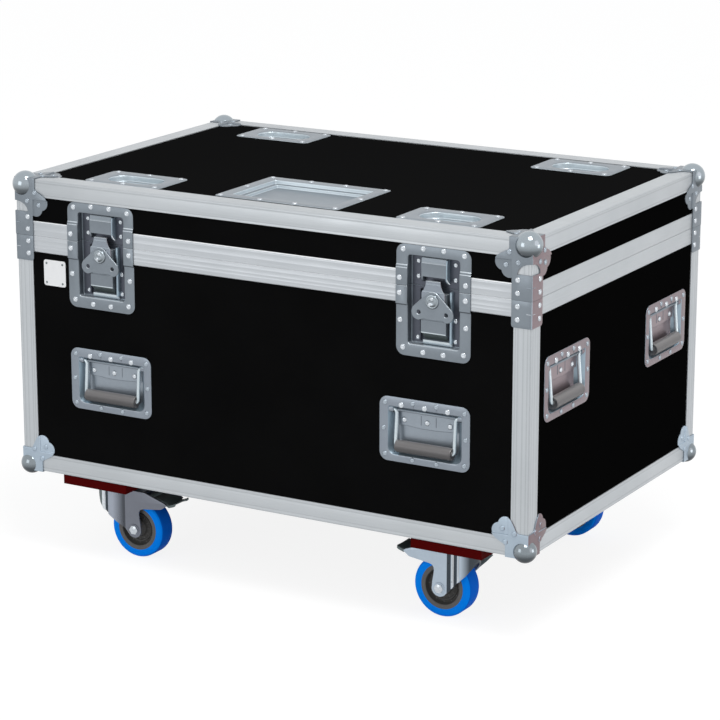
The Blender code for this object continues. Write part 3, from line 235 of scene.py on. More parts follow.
@dataclass(frozen=True)
class Metal:
    """Bare or plated metal with drawn grain, a cloudy tone, scratches and dulled patches.

    A ramp of painted shade darkens it along an axis from one distance off the case's middle to
    another, and faces that look along an axis take a lighter or darker colour as painted light and
    shade.
    """

    name: str
    colour: Triple
    shade: Triple
    roughness: Pair = (0.31, 0.355)
    axis: Axis = Axis.NONE
    grain_depth: float = 0.000003
    cloud: float = 18.0
    metallic: float = 0.62
    painted_shade_ramp: tuple[str, float, float, float] | None = None
    painted_light: tuple[PaintedLight, ...] = ()
    wear: float = 0.3
    smudge_scale: float = 4.0
    scuff_scale: float = 0.22
    glint: float = 1.08
    specular: float = 0.1

    def make(self) -> bpy.types.Material:
        """Build the material and return it."""
        recipe = Recipe(self.name)
        grain = recipe.noise(self.axis.value, 5.0, 0.65)
        cloud = recipe.noise((self.cloud,) * 3, 3.0, 0.55, (3, 1, 7))
        smudge = recipe.noise((self.cloud * self.smudge_scale,) * 3, 2.0, 0.5, (9, 4, 2))
        scuff = recipe.noise(scaled(self.axis.value, self.scuff_scale), 2.0, 0.5, (1, 5, 3))
        tone = recipe.mix(recipe.ranged(cloud, 0.0, 1.0), self.shade, self.colour)
        tone = recipe.mix(recipe.ranged(grain, 0.0, 0.35, 0.35, 0.65), tone,
                          tuple(min(1.0, value) for value in scaled(self.colour, self.glint)))
        worn = recipe.ranged(scuff, 0.0, self.wear, 0.64, 0.78)
        tone = recipe.mix(worn, tone, self.shade)
        blend = recipe.node("ShaderNodeMath", {0: smudge, 1: grain}, operation="ADD").outputs[0]
        rough = recipe.ranged(blend, *self.roughness, 0.7, 1.3)
        # Painted shade: darker along an axis, between two distances off the case's middle.
        if self.painted_shade_ramp:
            axis, start, end, share = self.painted_shade_ramp
            reach = recipe.node("ShaderNodeMath", {0: recipe.part(recipe.place, axis)},
                                operation="ABSOLUTE").outputs[0]
            tone = recipe.mix(recipe.ranged(reach, 0.0, 1.0, start, end), tone,
                              scaled(self.colour, share))
        # Painted light and shade on faces that look along an axis.
        return recipe.dress(Base_Color=recipe.painted_lights(self.painted_light, tone), Metallic=self.metallic,
                            Roughness=rough, Normal=recipe.bump(grain, self.grain_depth),
                            Specular_IOR_Level=self.specular)


@dataclass(frozen=True)
class Laminate:
    """Black phenolic skin with a fine pebbled emboss, faint streaks, handling marks and painted
    light and shade by facing.
    """

    name: str
    colour: Triple
    bright: Triple
    painted_light: tuple[PaintedLight, ...] = ()
    pebble: float = 520.0
    pebble_depth: float = 0.00006
    fine_depth: float = 0.00002
    speck: float = 2.2

    def make(self) -> bpy.types.Material:
        """Build the material and return it."""
        recipe = Recipe(self.name)
        cells = recipe.node("ShaderNodeTexVoronoi", {"Vector": recipe.place, "Scale": self.pebble},
                            feature="SMOOTH_F1").outputs["Distance"]
        fine = recipe.noise((900, 900, 900), 2.0, 0.5)
        cloud = recipe.noise((7, 7, 7))
        marks = recipe.noise((14, 14, 90), 3.0, 0.5, (2, 8, 1))
        tone = recipe.mix(recipe.ranged(cloud, 0.0, 1.0), self.colour, self.bright)
        # Painted light and shade on faces that look along an axis.
        tone = recipe.painted_lights(self.painted_light, tone)
        specks = recipe.ranged(fine, 0.0, 0.5, 0.62, 0.75)
        tone = recipe.mix(specks, tone, scaled(self.bright, self.speck))
        relief = recipe.bump(cells, self.pebble_depth, recipe.bump(fine, self.fine_depth))
        return recipe.dress(Base_Color=tone, Roughness=recipe.ranged(marks, 0.55, 0.7),
                            Normal=relief, Specular_IOR_Level=0.0)


@dataclass(frozen=True)
class Moulded:
    """Rubber, polyurethane or moulded plastic with a fine matt grain, paler wear and, where given,
    painted light and shade by facing.
    """

    name: str
    colour: Triple
    worn: Triple
    roughness: Pair
    gloss: float = 0.3
    axis: Axis = Axis.NONE
    grain_depth: float = 0.00005
    grain_scale: float = 2.2
    painted_light: tuple[PaintedLight, ...] = ()

    def make(self) -> bpy.types.Material:
        """Build the material and return it."""
        recipe = Recipe(self.name)
        grain = recipe.noise(scaled(self.axis.value, self.grain_scale), 3.0)
        cloud = recipe.noise((35, 35, 35), shift=(4, 2, 6))
        dust = recipe.noise((160, 160, 160), 3.0, 0.7, (7, 3, 3))
        tone = recipe.mix(recipe.ranged(cloud, 0.0, 0.6), self.colour, self.worn)
        tone = recipe.mix(recipe.ranged(dust, 0.0, 0.5, 0.58, 0.75), tone, self.worn)
        # Painted light and shade on faces that look along an axis.
        return recipe.dress(Base_Color=recipe.painted_lights(self.painted_light, tone),
                            Roughness=recipe.ranged(dust, *self.roughness),
                            Normal=recipe.bump(grain, self.grain_depth),
                            Specular_IOR_Level=self.gloss)


@dataclass(frozen=True)
class StainedPly:
    """Red-stained plywood with long wood fibres, and layers seen on its edges."""

    name: str
    colour: Triple
    dark: Triple
    fibre_depth: float = 0.00008
    layers: float = 95.0

    def make(self) -> bpy.types.Material:
        """Build the material and return it."""
        recipe = Recipe(self.name)
        fibre = recipe.noise((260, 9, 900), 5.0, 0.7)
        cloud = recipe.noise((30, 12, 60), 3.0, 0.5, (3, 3, 3))
        layers = recipe.node("ShaderNodeTexWave",
                             {"Vector": recipe.place, "Scale": self.layers, "Distortion": 0.6,
                              "Detail": 2.0}, bands_direction="Z").outputs["Fac"]
        tone = recipe.mix(recipe.ranged(fibre, 0.0, 1.0), self.dark, self.colour)
        tone = recipe.mix(recipe.ranged(layers, 0.0, 0.4, 0.6, 0.9), tone, self.dark)
        return recipe.dress(Base_Color=tone, Roughness=recipe.ranged(cloud, 0.5, 0.7),
                            Normal=recipe.bump(fibre, self.fibre_depth), Specular_IOR_Level=0.02)


@dataclass(frozen=True)
class PaleFloor:
    """Plain pale studio floor that keeps the case's shadow and looks white to the camera."""

    name: str = "pale_floor"
    colour: Triple = (0.88, 0.88, 0.88)
    cloudy: float = 0.99
    shadow_share: float = 0.2
    white: float = 0.87

    def make(self) -> bpy.types.Material:
        """Build the material and return it."""
        recipe = Recipe(self.name)
        cloud = recipe.noise((3, 3, 3), 2.0, 0.5)
        tone = recipe.mix(recipe.ranged(cloud, 0.0, 1.0), scaled(self.colour, self.cloudy),
                          self.colour)
        recipe.dress(Base_Color=tone, Roughness=0.9, Specular_IOR_Level=0.0)
        glow = recipe.node("ShaderNodeEmission", {"Color": (1, 1, 1, 1), "Strength": self.white})
        share = self.shadow_share
        shadow = recipe.node("ShaderNodeBsdfDiffuse", {"Color": (share, share, share, 1)})
        bright = recipe.node("ShaderNodeAddShader", {0: glow.outputs[0], 1: shadow.outputs[0]})
        mixed = recipe.node("ShaderNodeMixShader", {0: recipe.seen(), 1: recipe.shader.outputs[0],
                                                    2: bright.outputs[0]})
        recipe.feed(recipe.tree.nodes["Material Output"].inputs["Surface"], mixed.outputs[0])
        return recipe.material


ALUMINIUM = (0.51, 0.537, 0.56)
ALUMINIUM_SHADE = (0.45, 0.478, 0.50)
ZINC = (0.217, 0.248, 0.279)
ZINC_SHADE = (0.195, 0.223, 0.252)
PALE = (0.257, 0.292, 0.334)
PALE_SHADE = (0.236, 0.266, 0.309)
RUBBER = (0.095, 0.090, 0.093)
RUBBER_WORN = (0.11, 0.105, 0.108)
# Painted light and shade: faces that look up are lighter, faces that look down darker.
PAINTED_TOP_LIGHT = ("Z", 0.3, 0.7, (0.60, 0.66, 0.71))
PAINTED_UNDER_SHADE = ("Z", -0.35, -0.7, (0.12, 0.137, 0.155))
DRAWN = {"roughness": (0.30, 0.44), "grain_depth": 0.00001, "cloud": 7.0}
POLISHED = {"roughness": (0.10, 0.15), "cloud": 40.0, "grain_depth": 0.000001, "metallic": 0.9}
HEADED = {"roughness": (0.18, 0.28), "cloud": 90.0, "grain_depth": 0.0000005, "metallic": 0.75}
SMOOTH = {"roughness": (0.30, 0.33), "grain_depth": 0.000001, "wear": 0.15}
# The grip's preset paints light on its upper faces and shade on its lower ones.
GRIPPED = {"roughness": (0.28, 0.38), "gloss": 0.6, "grain_depth": 0.00002,
           "painted_light": (("Z", 0.25, 0.85, (0.17, 0.163, 0.163)),
                     ("Z", 0.3, -0.5, (0.034, 0.032, 0.034)))}


def painted_rose(red: float, green: float, blue: float) -> PaintedLight:
    """Return a painted rose reflection on faces that look to the right."""
    return ("X", 0.55, 0.85, (red, green, blue))


class Finishes:
    """Every material of the case, each built once when first asked for."""

    recipes = {
        # The laminate is painted lighter on top and darker on its right-facing sides, as painted
        # light and shade.
        "laminate": Laminate("black_laminate", (0.0038, 0.0038, 0.0039), (0.0048, 0.0048, 0.0049),
                             (("Z", 0.5, 0.9, (0.0066, 0.0066, 0.0067)),
                              ("X", 0.5, 0.9, (0.0022, 0.0022, 0.0022)))),
        "drawn_x": Metal("aluminium_drawn_x", ALUMINIUM, ALUMINIUM_SHADE, axis=Axis.X, **DRAWN),
        "drawn_y": Metal("aluminium_drawn_y", ALUMINIUM, ALUMINIUM_SHADE, axis=Axis.Y, **DRAWN),
        "drawn_z": Metal("aluminium_drawn_z", ALUMINIUM, ALUMINIUM_SHADE, axis=Axis.Z, **DRAWN),
        # A darker copy of the aluminium, painted shade in the grooves and along the folds.
        "groove": Metal("aluminium_groove_shade", (0.445, 0.47, 0.49), (0.40, 0.425, 0.445), **DRAWN),
        # The band paints a highlight on faces that look up.
        "band_x": Metal("aluminium_band_x", (0.515, 0.542, 0.57), (0.45, 0.478, 0.504),
                        axis=Axis.X, painted_light=(("Z", 0.2, 0.6, (0.9, 0.92, 0.94)),), **DRAWN),
        # The sheet plating paints a rose reflection on faces that look to the right; the next is
        # the same plating without it.
        "zinc": Metal("zinc_plated_sheet", ZINC, ZINC_SHADE, painted_light=(painted_rose(0.255, 0.195, 0.21),)),
        "zinc_left": Metal("zinc_plated_left", ZINC, ZINC_SHADE),
        "zinc_flat": Metal("zinc_plated_flat", (0.245, 0.28, 0.315), (0.225, 0.258, 0.292)),
        # These paint light on faces that look up and shade on faces that look down; the pale ones
        # also a rose reflection on right-facing faces.
        "zinc_latch": Metal("zinc_plated_latch", ZINC, ZINC_SHADE, painted_light=(PAINTED_TOP_LIGHT, PAINTED_UNDER_SHADE)),
        "zinc_pale": Metal("zinc_plated_pale", PALE, PALE_SHADE,
                           painted_light=(PAINTED_TOP_LIGHT, PAINTED_UNDER_SHADE, painted_rose(0.262, 0.22, 0.238))),
        "zinc_pale_left": Metal("zinc_plated_pale_left", PALE, PALE_SHADE,
                                painted_light=(PAINTED_TOP_LIGHT, PAINTED_UNDER_SHADE)),
        # Lighter copies of the pale plating for the handles' recessed floors and backplates:
        # painted light against their shade; the first also paints a rose reflection.
        "zinc_floor": Metal("zinc_plated_floor", (0.325, 0.37, 0.415), (0.293, 0.334, 0.378),
                            (0.30, 0.34), painted_light=(painted_rose(0.32, 0.264, 0.282),)),
        "zinc_floor_left": Metal("zinc_plated_floor_left", (0.305, 0.347, 0.391),
                                 (0.276, 0.313, 0.358), (0.30, 0.34)),
        # A darker copy of the plating for the handles' slits and the crescents under rivets:
        # painted shade and painted shadow.
        "zinc_painted_shade": Metal("zinc_plated_painted_shade", (0.20, 0.225, 0.255), (0.18, 0.20, 0.23),
                           (0.34, 0.46)),
        # A dark copy of the plating for the latch pans' walls: painted shade in the recess, with
        # painted light on faces that look up.
        "zinc_wall": Metal("zinc_plated_wall", (0.14, 0.165, 0.19), (0.12, 0.14, 0.165),
                           painted_light=(("Z", 0.4, 0.8, (0.42, 0.47, 0.52)),)),
        # Lighter copies of the plating for the base corners: painted reflection; the first also
        # paints a rose reflection on right-facing faces.
        "zinc_light": Metal("zinc_plated_light", (0.39, 0.47, 0.545), (0.358, 0.428, 0.502),
                            painted_light=(painted_rose(0.21, 0.157, 0.17),)),
        "zinc_light_left": Metal("zinc_plated_light_left", (0.40, 0.48, 0.555),
                                 (0.366, 0.437, 0.513)),
        # A lighter, bluer copy of the plating for recess walls and right-facing sides: painted
        # reflection.
        "zinc_blue": Metal("zinc_plated_lit_wall", (0.34, 0.43, 0.50), (0.30, 0.39, 0.46),
                           (0.30, 0.34)),
        # Lighter copies of the plating for the lid dishes' hollows: painted light.
        "slot": Metal("zinc_plated_slot", (0.54, 0.605, 0.645), (0.515, 0.58, 0.62), **SMOOTH),
        "slot_bright": Metal("zinc_plated_slot_bright", (0.59, 0.66, 0.705), (0.565, 0.635, 0.68),
                             **SMOOTH),
        # A dark copy of the plating for the latch pans' floors and a rib: painted shade.
        "zinc_dark": Metal("zinc_plated_recess", (0.095, 0.104, 0.129), (0.078, 0.086, 0.106),
                           (0.34, 0.46)),
        # A dark copy of the plating for the latch housing's downward slope: painted shade.
        "slope_shade": Metal("zinc_plated_slope_shade", (0.115, 0.14, 0.14), (0.10, 0.12, 0.12), (0.30, 0.42)),
        # The balls are painted darker on faces that look down, as painted reflection and shade;
        # the copy for the base corners is darker all over, as painted shade.
        "ball": Metal("polished_ball", (0.37, 0.42, 0.455), (0.34, 0.385, 0.42),
                      painted_light=(("Z", 0.15, -0.35, (0.15, 0.168, 0.181)),
                             ("Z", -0.2, -0.75, (0.045, 0.054, 0.061))), **POLISHED),
        "ball_low": Metal("polished_ball_low", (0.26, 0.295, 0.32), (0.235, 0.27, 0.295),
                          painted_light=(("Z", 0.15, -0.35, (0.105, 0.118, 0.128)),
                                 ("Z", -0.2, -0.75, (0.035, 0.042, 0.048))), **POLISHED),
        "rivet": Metal("rivet_steel", (0.60, 0.64, 0.68), (0.50, 0.54, 0.58), **HEADED),
        "rivet_soft": Metal("rivet_plated", (0.36, 0.41, 0.46), (0.32, 0.365, 0.41), **HEADED),
        "wire": Metal("bright_wire", (0.60, 0.67, 0.71), (0.50, 0.57, 0.61), (0.16, 0.26),
                      grain_depth=0.000001),
        # The right castors' fork is painted darker towards its curved wall, a painted shade ramp;
        # the left castors' copy is darker all over, painted shade.
        "fork_right": Metal("pressed_fork", (0.45, 0.53, 0.615), (0.42, 0.495, 0.575),
                            (0.30, 0.36), painted_shade_ramp=("X", 0.3262, 0.3385, 0.13)),
        "fork_left": Metal("pressed_fork_shaded", (0.19, 0.203, 0.238), (0.173, 0.186, 0.218),
                           (0.30, 0.36)),
        # Lit and shaded copies for the fork's broad wall and beads: painted light and shade, with
        # a painted shade ramp along the wall.
        "fork_wall": Metal("pressed_fork_wall", (0.38, 0.416, 0.488), (0.344, 0.38, 0.443),
                           (0.26, 0.36), painted_shade_ramp=("X", 0.331, 0.310, 0.2)),
        "fork_dark": Metal("pressed_fork_dark", (0.055, 0.068, 0.081), (0.043, 0.053, 0.064),
                           (0.26, 0.36)),
        "fork_bright": Metal("pressed_fork_bright", (0.80, 0.84, 0.88), (0.72, 0.77, 0.81),
                             (0.26, 0.36)),
        "dark_steel": Moulded("dark_pedal_steel", (0.155, 0.192, 0.196), (0.17, 0.208, 0.212),
                              (0.35, 0.5), 0.25),
        "grip": Moulded("handle_rubber", RUBBER, RUBBER_WORN, axis=Axis.X, **GRIPPED),
        "grip_side": Moulded("handle_rubber_side", RUBBER, RUBBER_WORN, axis=Axis.Y, **GRIPPED),
        "tyre": Moulded("blue_polyurethane", (0.0, 0.25, 1.0), (0.003, 0.265, 1.0), (0.42, 0.55),
                        0.03),
        "tread": Moulded("blue_tread", (0.0, 0.125, 0.66), (0.002, 0.14, 0.72), (0.5, 0.65), 0.03),
        "hub": Moulded("grey_hub", (0.11, 0.107, 0.104), (0.125, 0.121, 0.118), (0.42, 0.6)),
        # A darker copy of the hub for its recess: painted shade.
        "hub_dark": Moulded("hub_recess_shade", (0.068, 0.066, 0.064), (0.08, 0.078, 0.075), (0.45, 0.6),
                            0.2),
        "plywood": StainedPly("red_stained_plywood", (0.085, 0.0012, 0.0014),
                              (0.05, 0.0008, 0.0008)),
        "plate": Moulded("white_plate", (0.86, 0.87, 0.88), (0.80, 0.81, 0.82), (0.3, 0.4), 0.2),
        "floor": PaleFloor(),
    }
    made: dict[str, bpy.types.Material] = {}

    @classmethod
    def get(cls, name: str) -> bpy.types.Material:
        """Return the named material, building it the first time."""
        if name not in cls.made:
            cls.made[name] = cls.recipes[name].make()
        return cls.made[name]


# ------------------------------------------------------------------------ mesh making


def mm(*points: tuple[float, ...]) -> list[tuple[float, ...]]:
    """Return points given in millimetres as points in metres."""
    return [tuple(value / 1000 for value in point) for point in points]


def arc(centre: Pair, radius: float, start: float, end: float, steps: int) -> list[Pair]:
    """Return points on an arc between two angles in degrees."""
    angles = [math.radians(start + (end - start) * step / steps) for step in range(steps + 1)]
    return [(centre[0] + radius * math.cos(angle), centre[1] + radius * math.sin(angle))
            for angle in angles]


def flipped(points: Sequence[Pair], across: bool = True) -> list[Pair]:
    """Return points backwards, mirrored in their first part or, without across, the second."""
    return [(-a, b) if across else (a, -b) for a, b in reversed(points)]


def put(name: str, data: bpy.types.ID) -> bpy.types.Object:
    """Link a new object with that data to the scene, and return it."""
    thing = bpy.data.objects.new(name, data)
    bpy.context.scene.collection.objects.link(thing)
    return thing


def pour(source: Shape, target: Shape) -> None:
    """Add a mesh, which is used up, to another one."""
    mesh = bpy.data.meshes.new("poured")
    source.to_mesh(mesh)
    source.free()
    target.from_mesh(mesh)
    bpy.data.meshes.remove(mesh)


def on_plane(axis: str, a: float, b: float, c: float) -> Vector:
    """Return the point with flat coordinates a and b at distance c along an axis."""
    return Vector({"X": (c, a, b), "Y": (a, c, b), "Z": (a, b, c)}[axis])


@dataclass(frozen=True)
class Outline:
    """A rounded rectangle on a face: half its width, its lowest and highest line, its corners."""

    half: float
    low: float
    high: float
    lower_corner: float
    upper_corner: float
    steps: int = 6

    def points(self, grow: float = 0.0) -> list[Pair]:
        """Return the outline's points, grown outwards by a distance."""
        half, low, high = self.half + grow, self.low - grow, self.high + grow
        points: list[Pair] = []
        for side, v, inwards, corner, start in ((-1, low, 1, self.lower_corner, 180),
                                                (1, low, 1, self.lower_corner, 270),
                                                (1, high, -1, self.upper_corner, 0),
                                                (-1, high, -1, self.upper_corner, 90)):
            radius = max(corner + grow, 0.0003)
            centre = (side * (half - radius), v + inwards * radius)
            points += arc(centre, radius, start, start + 90, self.steps)
        return points

    def ring(self, grow: float, depth: float) -> Ring:
        """Return the grown outline as a ring at a depth behind the face."""
        return [Vector((u, depth, v)) for u, v in self.points(grow)]


def press(rim: Outline, levels: Sequence[tuple], face: float, bend: float,
          steps: int = 4) -> list[Ring]:
    """Lay out the rings of a pressed dish, from its rim down each step to its floor.

    Args:
        rim: the flange's outline.
        levels: each hollow's outline, its floor's outline where that is smaller, its depth.
        face: the flange's depth, negative where it stands proud.
        bend: the radius of each bend.
        steps: facets of each bend.

    Returns:
        The rings in order.
    """
    rings = [rim.ring(0, face)]
    depth = face
    turns = [math.radians(90 * step / steps) for step in range(steps + 1)]
    for hollow, *base, sink in levels:
        rings += [hollow.ring(bend * (1 - math.sin(turn)), depth + bend * (1 - math.cos(turn)))
                  for turn in turns]
        floor = base[0] if base else hollow
        rings += [floor.ring(-bend * (1 - math.cos(turn)), sink - bend * (1 - math.sin(turn)))
                  for turn in turns]
        depth = sink
    return rings


def inset(outline: Sequence[Pair], distance: float) -> list[Pair]:
    """Shrink a closed outline evenly.

    Args:
        outline: its points, in either direction.
        distance: how far each side moves inwards.

    Returns:
        The moved points.
    """
    nexts = [*outline[1:], outline[0]]
    area = sum(a[0] * b[1] - b[0] * a[1] for a, b in zip(outline, nexts))
    side = 1 if area > 0 else -1
    moved = []
    for k, (point, following) in enumerate(zip(outline, nexts)):
        before = Vector(point) - Vector(outline[k - 1])
        after = Vector(following) - Vector(point)
        first = Vector((-before.y, before.x)).normalized() * side
        second = Vector((-after.y, after.x)).normalized() * side
        middle = (first + second).normalized()
        reach = distance / max(middle.dot(first), 0.35)
        moved.append((point[0] + middle.x * reach, point[1] + middle.y * reach))
    return moved


class Work:
    """A piece's mesh in the making, put together from closed shells."""

    def __init__(self, *finishes: str, place: Matrix | None = None) -> None:
        """Start an empty mesh with its finishes, whose shells are laid out from a matrix."""
        self.finishes = finishes
        self.shells = bmesh.new()
        self.place = place or Matrix.Identity(4)

    def add(self, shape: Shape, finish: str | Choice = "") -> None:
        """Place a finished shell among the others.

        Args:
            shape: the shell, which is used up.
            finish: one of the piece's finishes, or what tells each face's finish. No name
                stands for the first of them.
        """
        for face in shape.faces:
            name = finish if isinstance(finish, str) else finish(face)
            face.material_index = self.finishes.index(name) if name else 0
        bmesh.ops.remove_doubles(shape, verts=shape.verts, dist=WELD)
        bmesh.ops.recalc_face_normals(shape, faces=shape.faces)
        shape.transform(self.place)
        pour(shape, self.shells)

    @staticmethod
    def strips(shape: Shape, rings: Sequence[Ring], start: bool = False,
               end: bool = False, around: bool = False) -> None:
        """Skin closed rings of equal length.

        Args:
            shape: the mesh that takes the faces.
            rings: the rings in order.
            start: whether the first ring is closed by a face.
            end: whether the last ring is closed by a face.
            around: whether the last ring joins the first.
        """
        rows = [[shape.verts.new(point) for point in ring] for ring in rings]
        pairs = list(zip(rows, rows[1:]))
        if around:
            pairs.append((rows[-1], rows[0]))
        for first, second in pairs:
            for k in range(len(first)):
                n = (k + 1) % len(first)
                shape.faces.new((first[k], first[n], second[n], second[k]))
        if start:
            shape.faces.new(rows[0])
        if end:
            shape.faces.new(rows[-1])

    @staticmethod
    def cut(shape: Shape, point: Triple, normal: Triple, drop: bool = False) -> None:
        """Cut a mesh along a plane, and drop what lies beyond where drop is set."""
        everything = shape.verts[:] + shape.edges[:] + shape.faces[:]
        bmesh.ops.bisect_plane(shape, geom=everything, plane_co=point, plane_no=normal,
                               clear_outer=drop)

    @staticmethod
    def sharp(shape: Shape) -> list[bmesh.types.BMEdge]:
        """Return the edges whose faces meet at a sharp angle."""
        return [edge for edge in shape.edges
                if len(edge.link_faces) == 2 and edge.calc_face_angle(0.0) > SHARP]

    def loft(self, rings: Sequence[Ring], finish: str = "") -> None:
        """Add a closed solid skinned over rings and capped at both ends."""
        shape = bmesh.new()
        self.strips(shape, rings, True, True)
        self.add(shape, finish)

    def slab(self, outline: Sequence[Pair], low: float, high: float, axis: str = "Y",
             bevel: float = 0.0003, finish: str = "",
             holes: Sequence[Sequence[Pair]] = ()) -> None:
        """Add a flat plate with eased edges.

        Args:
            outline: its shape.
            low: where it starts along the axis.
            high: where it ends along the axis.
            axis: the axis it lies square to.
            bevel: how far its edges are eased.
            finish: which finish it has.
            holes: outlines cut through it.
        """
        shape = bmesh.new()
        eased = ((bevel, low), (0, low + bevel), (0, high - bevel), (bevel, high))
        ends: list[list[bmesh.types.BMEdge]] = [[], []]
        for number, line in enumerate([outline, *holes]):
            sign = 1 if number == 0 else -1
            rings = [[on_plane(axis, a, b, c) for a, b in inset(line, sign * shrink)]
                     for shrink, c in eased]
            self.strips(shape, rings, not holes, not holes)
            if holes:
                shape.verts.ensure_lookup_table()
                count, total = len(line), len(shape.verts)
                for end, first in zip(ends, (total - 4 * count, total - count)):
                    row = shape.verts[first:first + count]
                    end += [shape.edges.get((row[k], row[(k + 1) % count])) for k in range(count)]
        if holes:
            for edges in ends:
                bmesh.ops.triangle_fill(shape, use_beauty=True, edges=edges)
        self.add(shape, finish)

    def block(self, low: Triple, high: Triple, bevel: float, finish: str = "") -> None:
        """Add a block with eased edges between its lowest and its highest corner."""
        (left, near, foot), (right, far, head) = low, high
        if near > far:
            near, far = far, near
        line = [(left, foot), (right, foot), (right, head), (left, head)]
        self.slab(line, near, far, "Y", bevel, finish)

    def turned(self, profile: Sequence[Pair], centre: Triple = (0, 0, 0),
               axis: Triple = (0, 0, 1), sides: int = 32, finish: str = "") -> None:
        """Add a turned solid.

        Args:
            profile: radius and height of each corner, from one end of the axis to the other.
            centre: where height 0 lies.
            axis: the direction of rising height.
            sides: facets round it.
            finish: which finish it has.
        """
        turn = Vector(axis).to_track_quat("Z", "Y").to_matrix()
        angles = [math.tau * k / sides for k in range(sides)]
        self.loft([[Vector(centre) + turn @ Vector((radius * math.cos(angle),
                                                    radius * math.sin(angle), height))
                    for angle in angles] for radius, height in profile], finish)

    def rivets(self, places: Iterable[Triple], axis: Triple = FRONT, radius: float = 0.0046,
               height: float = 0.0019, finish: str = "rivet") -> None:
        """Add domed rivet heads, each with the pin's small mark in its middle.

        Args:
            places: where each head sits on the sheet.
            axis: the direction they stand out.
            radius: of the head.
            height: of the head.
            finish: which finish they have.
        """
        dome = [(0.0, -RIVET_SINK), (radius, -RIVET_SINK)]
        dome += [(radius * wide, height * high) for wide, high in RIVET_DOME]
        for place in places:
            self.turned(dome, place, axis, 20, finish)

    def sheet(self, rings: Sequence[Ring], cuts: Sequence[tuple[Triple, Triple, bool]] = (),
              move: Callable[[Vector], Vector] | None = None, walls: str = "",
              deep: tuple[float, str] | None = None) -> None:
        """Add a pressed sheet: skinned rings, cut, moved, thickened and eased at its edges.

        Args:
            rings: the rings of its outer skin, which looks to the front.
            cuts: planes as a point, a normal and whether what lies beyond is dropped.
            move: gives each point its final place.
            walls: which finish its steep faces have, where that is another one.
            deep: the depth from which another finish starts, and that finish.
        """
        shape = bmesh.new()
        self.strips(shape, rings, end=True)
        bmesh.ops.remove_doubles(shape, verts=shape.verts, dist=WELD)
        for plane in cuts:
            self.cut(shape, *plane)
        if move:
            for vertex in shape.verts:
                vertex.co = move(vertex.co)
        self.thicken(shape, FRONT, SHEET, SHEET_RIM)

        def choose(face: Face) -> str:
            """Return a face's finish by its slope and its depth."""
            steep = abs(face.normal.dot(Vector(FRONT))) < STEEP
            if deep and face.calc_center_median().y > deep[0] and not (steep and walls):
                return deep[1]
            return walls if steep else ""

        self.add(shape, choose)

    @staticmethod
    def thicken(shape: Shape, outward: Triple, thickness: float, rim: float) -> None:
        """Give an open skin a thickness behind it and ease its edges.

        Args:
            shape: the skin.
            outward: the direction in which most of its flat faces look.
            thickness: of the sheet.
            rim: how far its edges are eased.
        """
        bmesh.ops.recalc_face_normals(shape, faces=shape.faces)
        shape.normal_update()
        if sum(face.normal.dot(Vector(outward)) * face.calc_area() for face in shape.faces) < 0:
            bmesh.ops.reverse_faces(shape, faces=shape.faces)
        shape.normal_update()
        bmesh.ops.solidify(shape, geom=shape.faces[:], thickness=thickness)
        shape.normal_update()
        bmesh.ops.bevel(shape, geom=Work.sharp(shape), offset=rim, segments=2, profile=0.5,
                        affect="EDGES", clamp_overlap=True)

    def tube(self, path: Sequence[Triple], radius: float, sides: int = 16,
             finish: str = "") -> None:
        """Add a round wire along a path, with eased ends.

        Args:
            path: the points it follows.
            radius: of the wire.
            sides: facets round it.
            finish: which finish it has.
        """
        rings = []
        across = None
        points = [Vector(point) for point in path]
        for k, point in enumerate(points):
            along = points[min(k + 1, len(points) - 1)] - points[max(k - 1, 0)]
            along.normalize()
            if across is None:
                across = along.orthogonal().normalized()
            across = (across - along * across.dot(along)).normalized()
            other = along.cross(across)
            reach = radius * (0.7 if k in (0, len(points) - 1) else 1.0)
            rings.append([point + across * math.cos(math.tau * n / sides) * reach
                          + other * math.sin(math.tau * n / sides) * reach for n in range(sides)])
        self.loft(rings, finish)

    def piece(self, name: str, body: str, replaces: str = "",
              smooth: float = 38.0) -> None:
        """Turn the shells into a named piece that rides on a body.

        Args:
            name: the piece's name.
            body: the body it rides on.
            replaces: the solid that it stands for.
            smooth: edges sharper than this angle stay sharp.
        """
        mesh = bpy.data.meshes.new(name)
        self.shells.to_mesh(mesh)
        self.shells.free()
        for finish in self.finishes:
            mesh.materials.append(Finishes.get(finish))
        mesh.polygons.foreach_set("use_smooth", [True] * len(mesh.polygons))
        mesh.set_sharp_from_angle(angle=math.radians(smooth))
        thing = put(name, mesh)
        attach(thing, body)
        if replaces:
            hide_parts(replaces)
        log.info("%s built on %s: %d faces", name, body, len(mesh.polygons))


# ---------------------------------------------------------------------- sub-assemblies


@dataclass(frozen=True)
class Panels:
    """The laminated panels and castor boards, whose solids stay and take their finish."""

    names: tuple[str, ...] = ("front_panel", "back_panel", "left_panel", "right_panel",
                              "floor_panel", "lid_top_panel", "lid_wall")
    boards: tuple[str, ...] = ("castor_board_left", "castor_board_right")
    easing: float = 0.0009

    def build(self) -> None:
        """Dress every panel and both castor boards."""
        for name in self.names:
            self.dress(name, "laminate")
        for name in self.boards:
            bevel = self.dress(name, "plywood").modifiers.new("eased_edges", "BEVEL")
            bevel.width = self.easing
            bevel.segments = 2

    @staticmethod
    def dress(name: str, finish: str) -> bpy.types.Object:
        """Put a finish on a solid that stays, and return it."""
        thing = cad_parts[name]
        for slot in thing.material_slots:
            slot.link = "OBJECT"
            slot.material = Finishes.get(finish)
        log.info("%s dressed with %s", name, finish)
        return thing


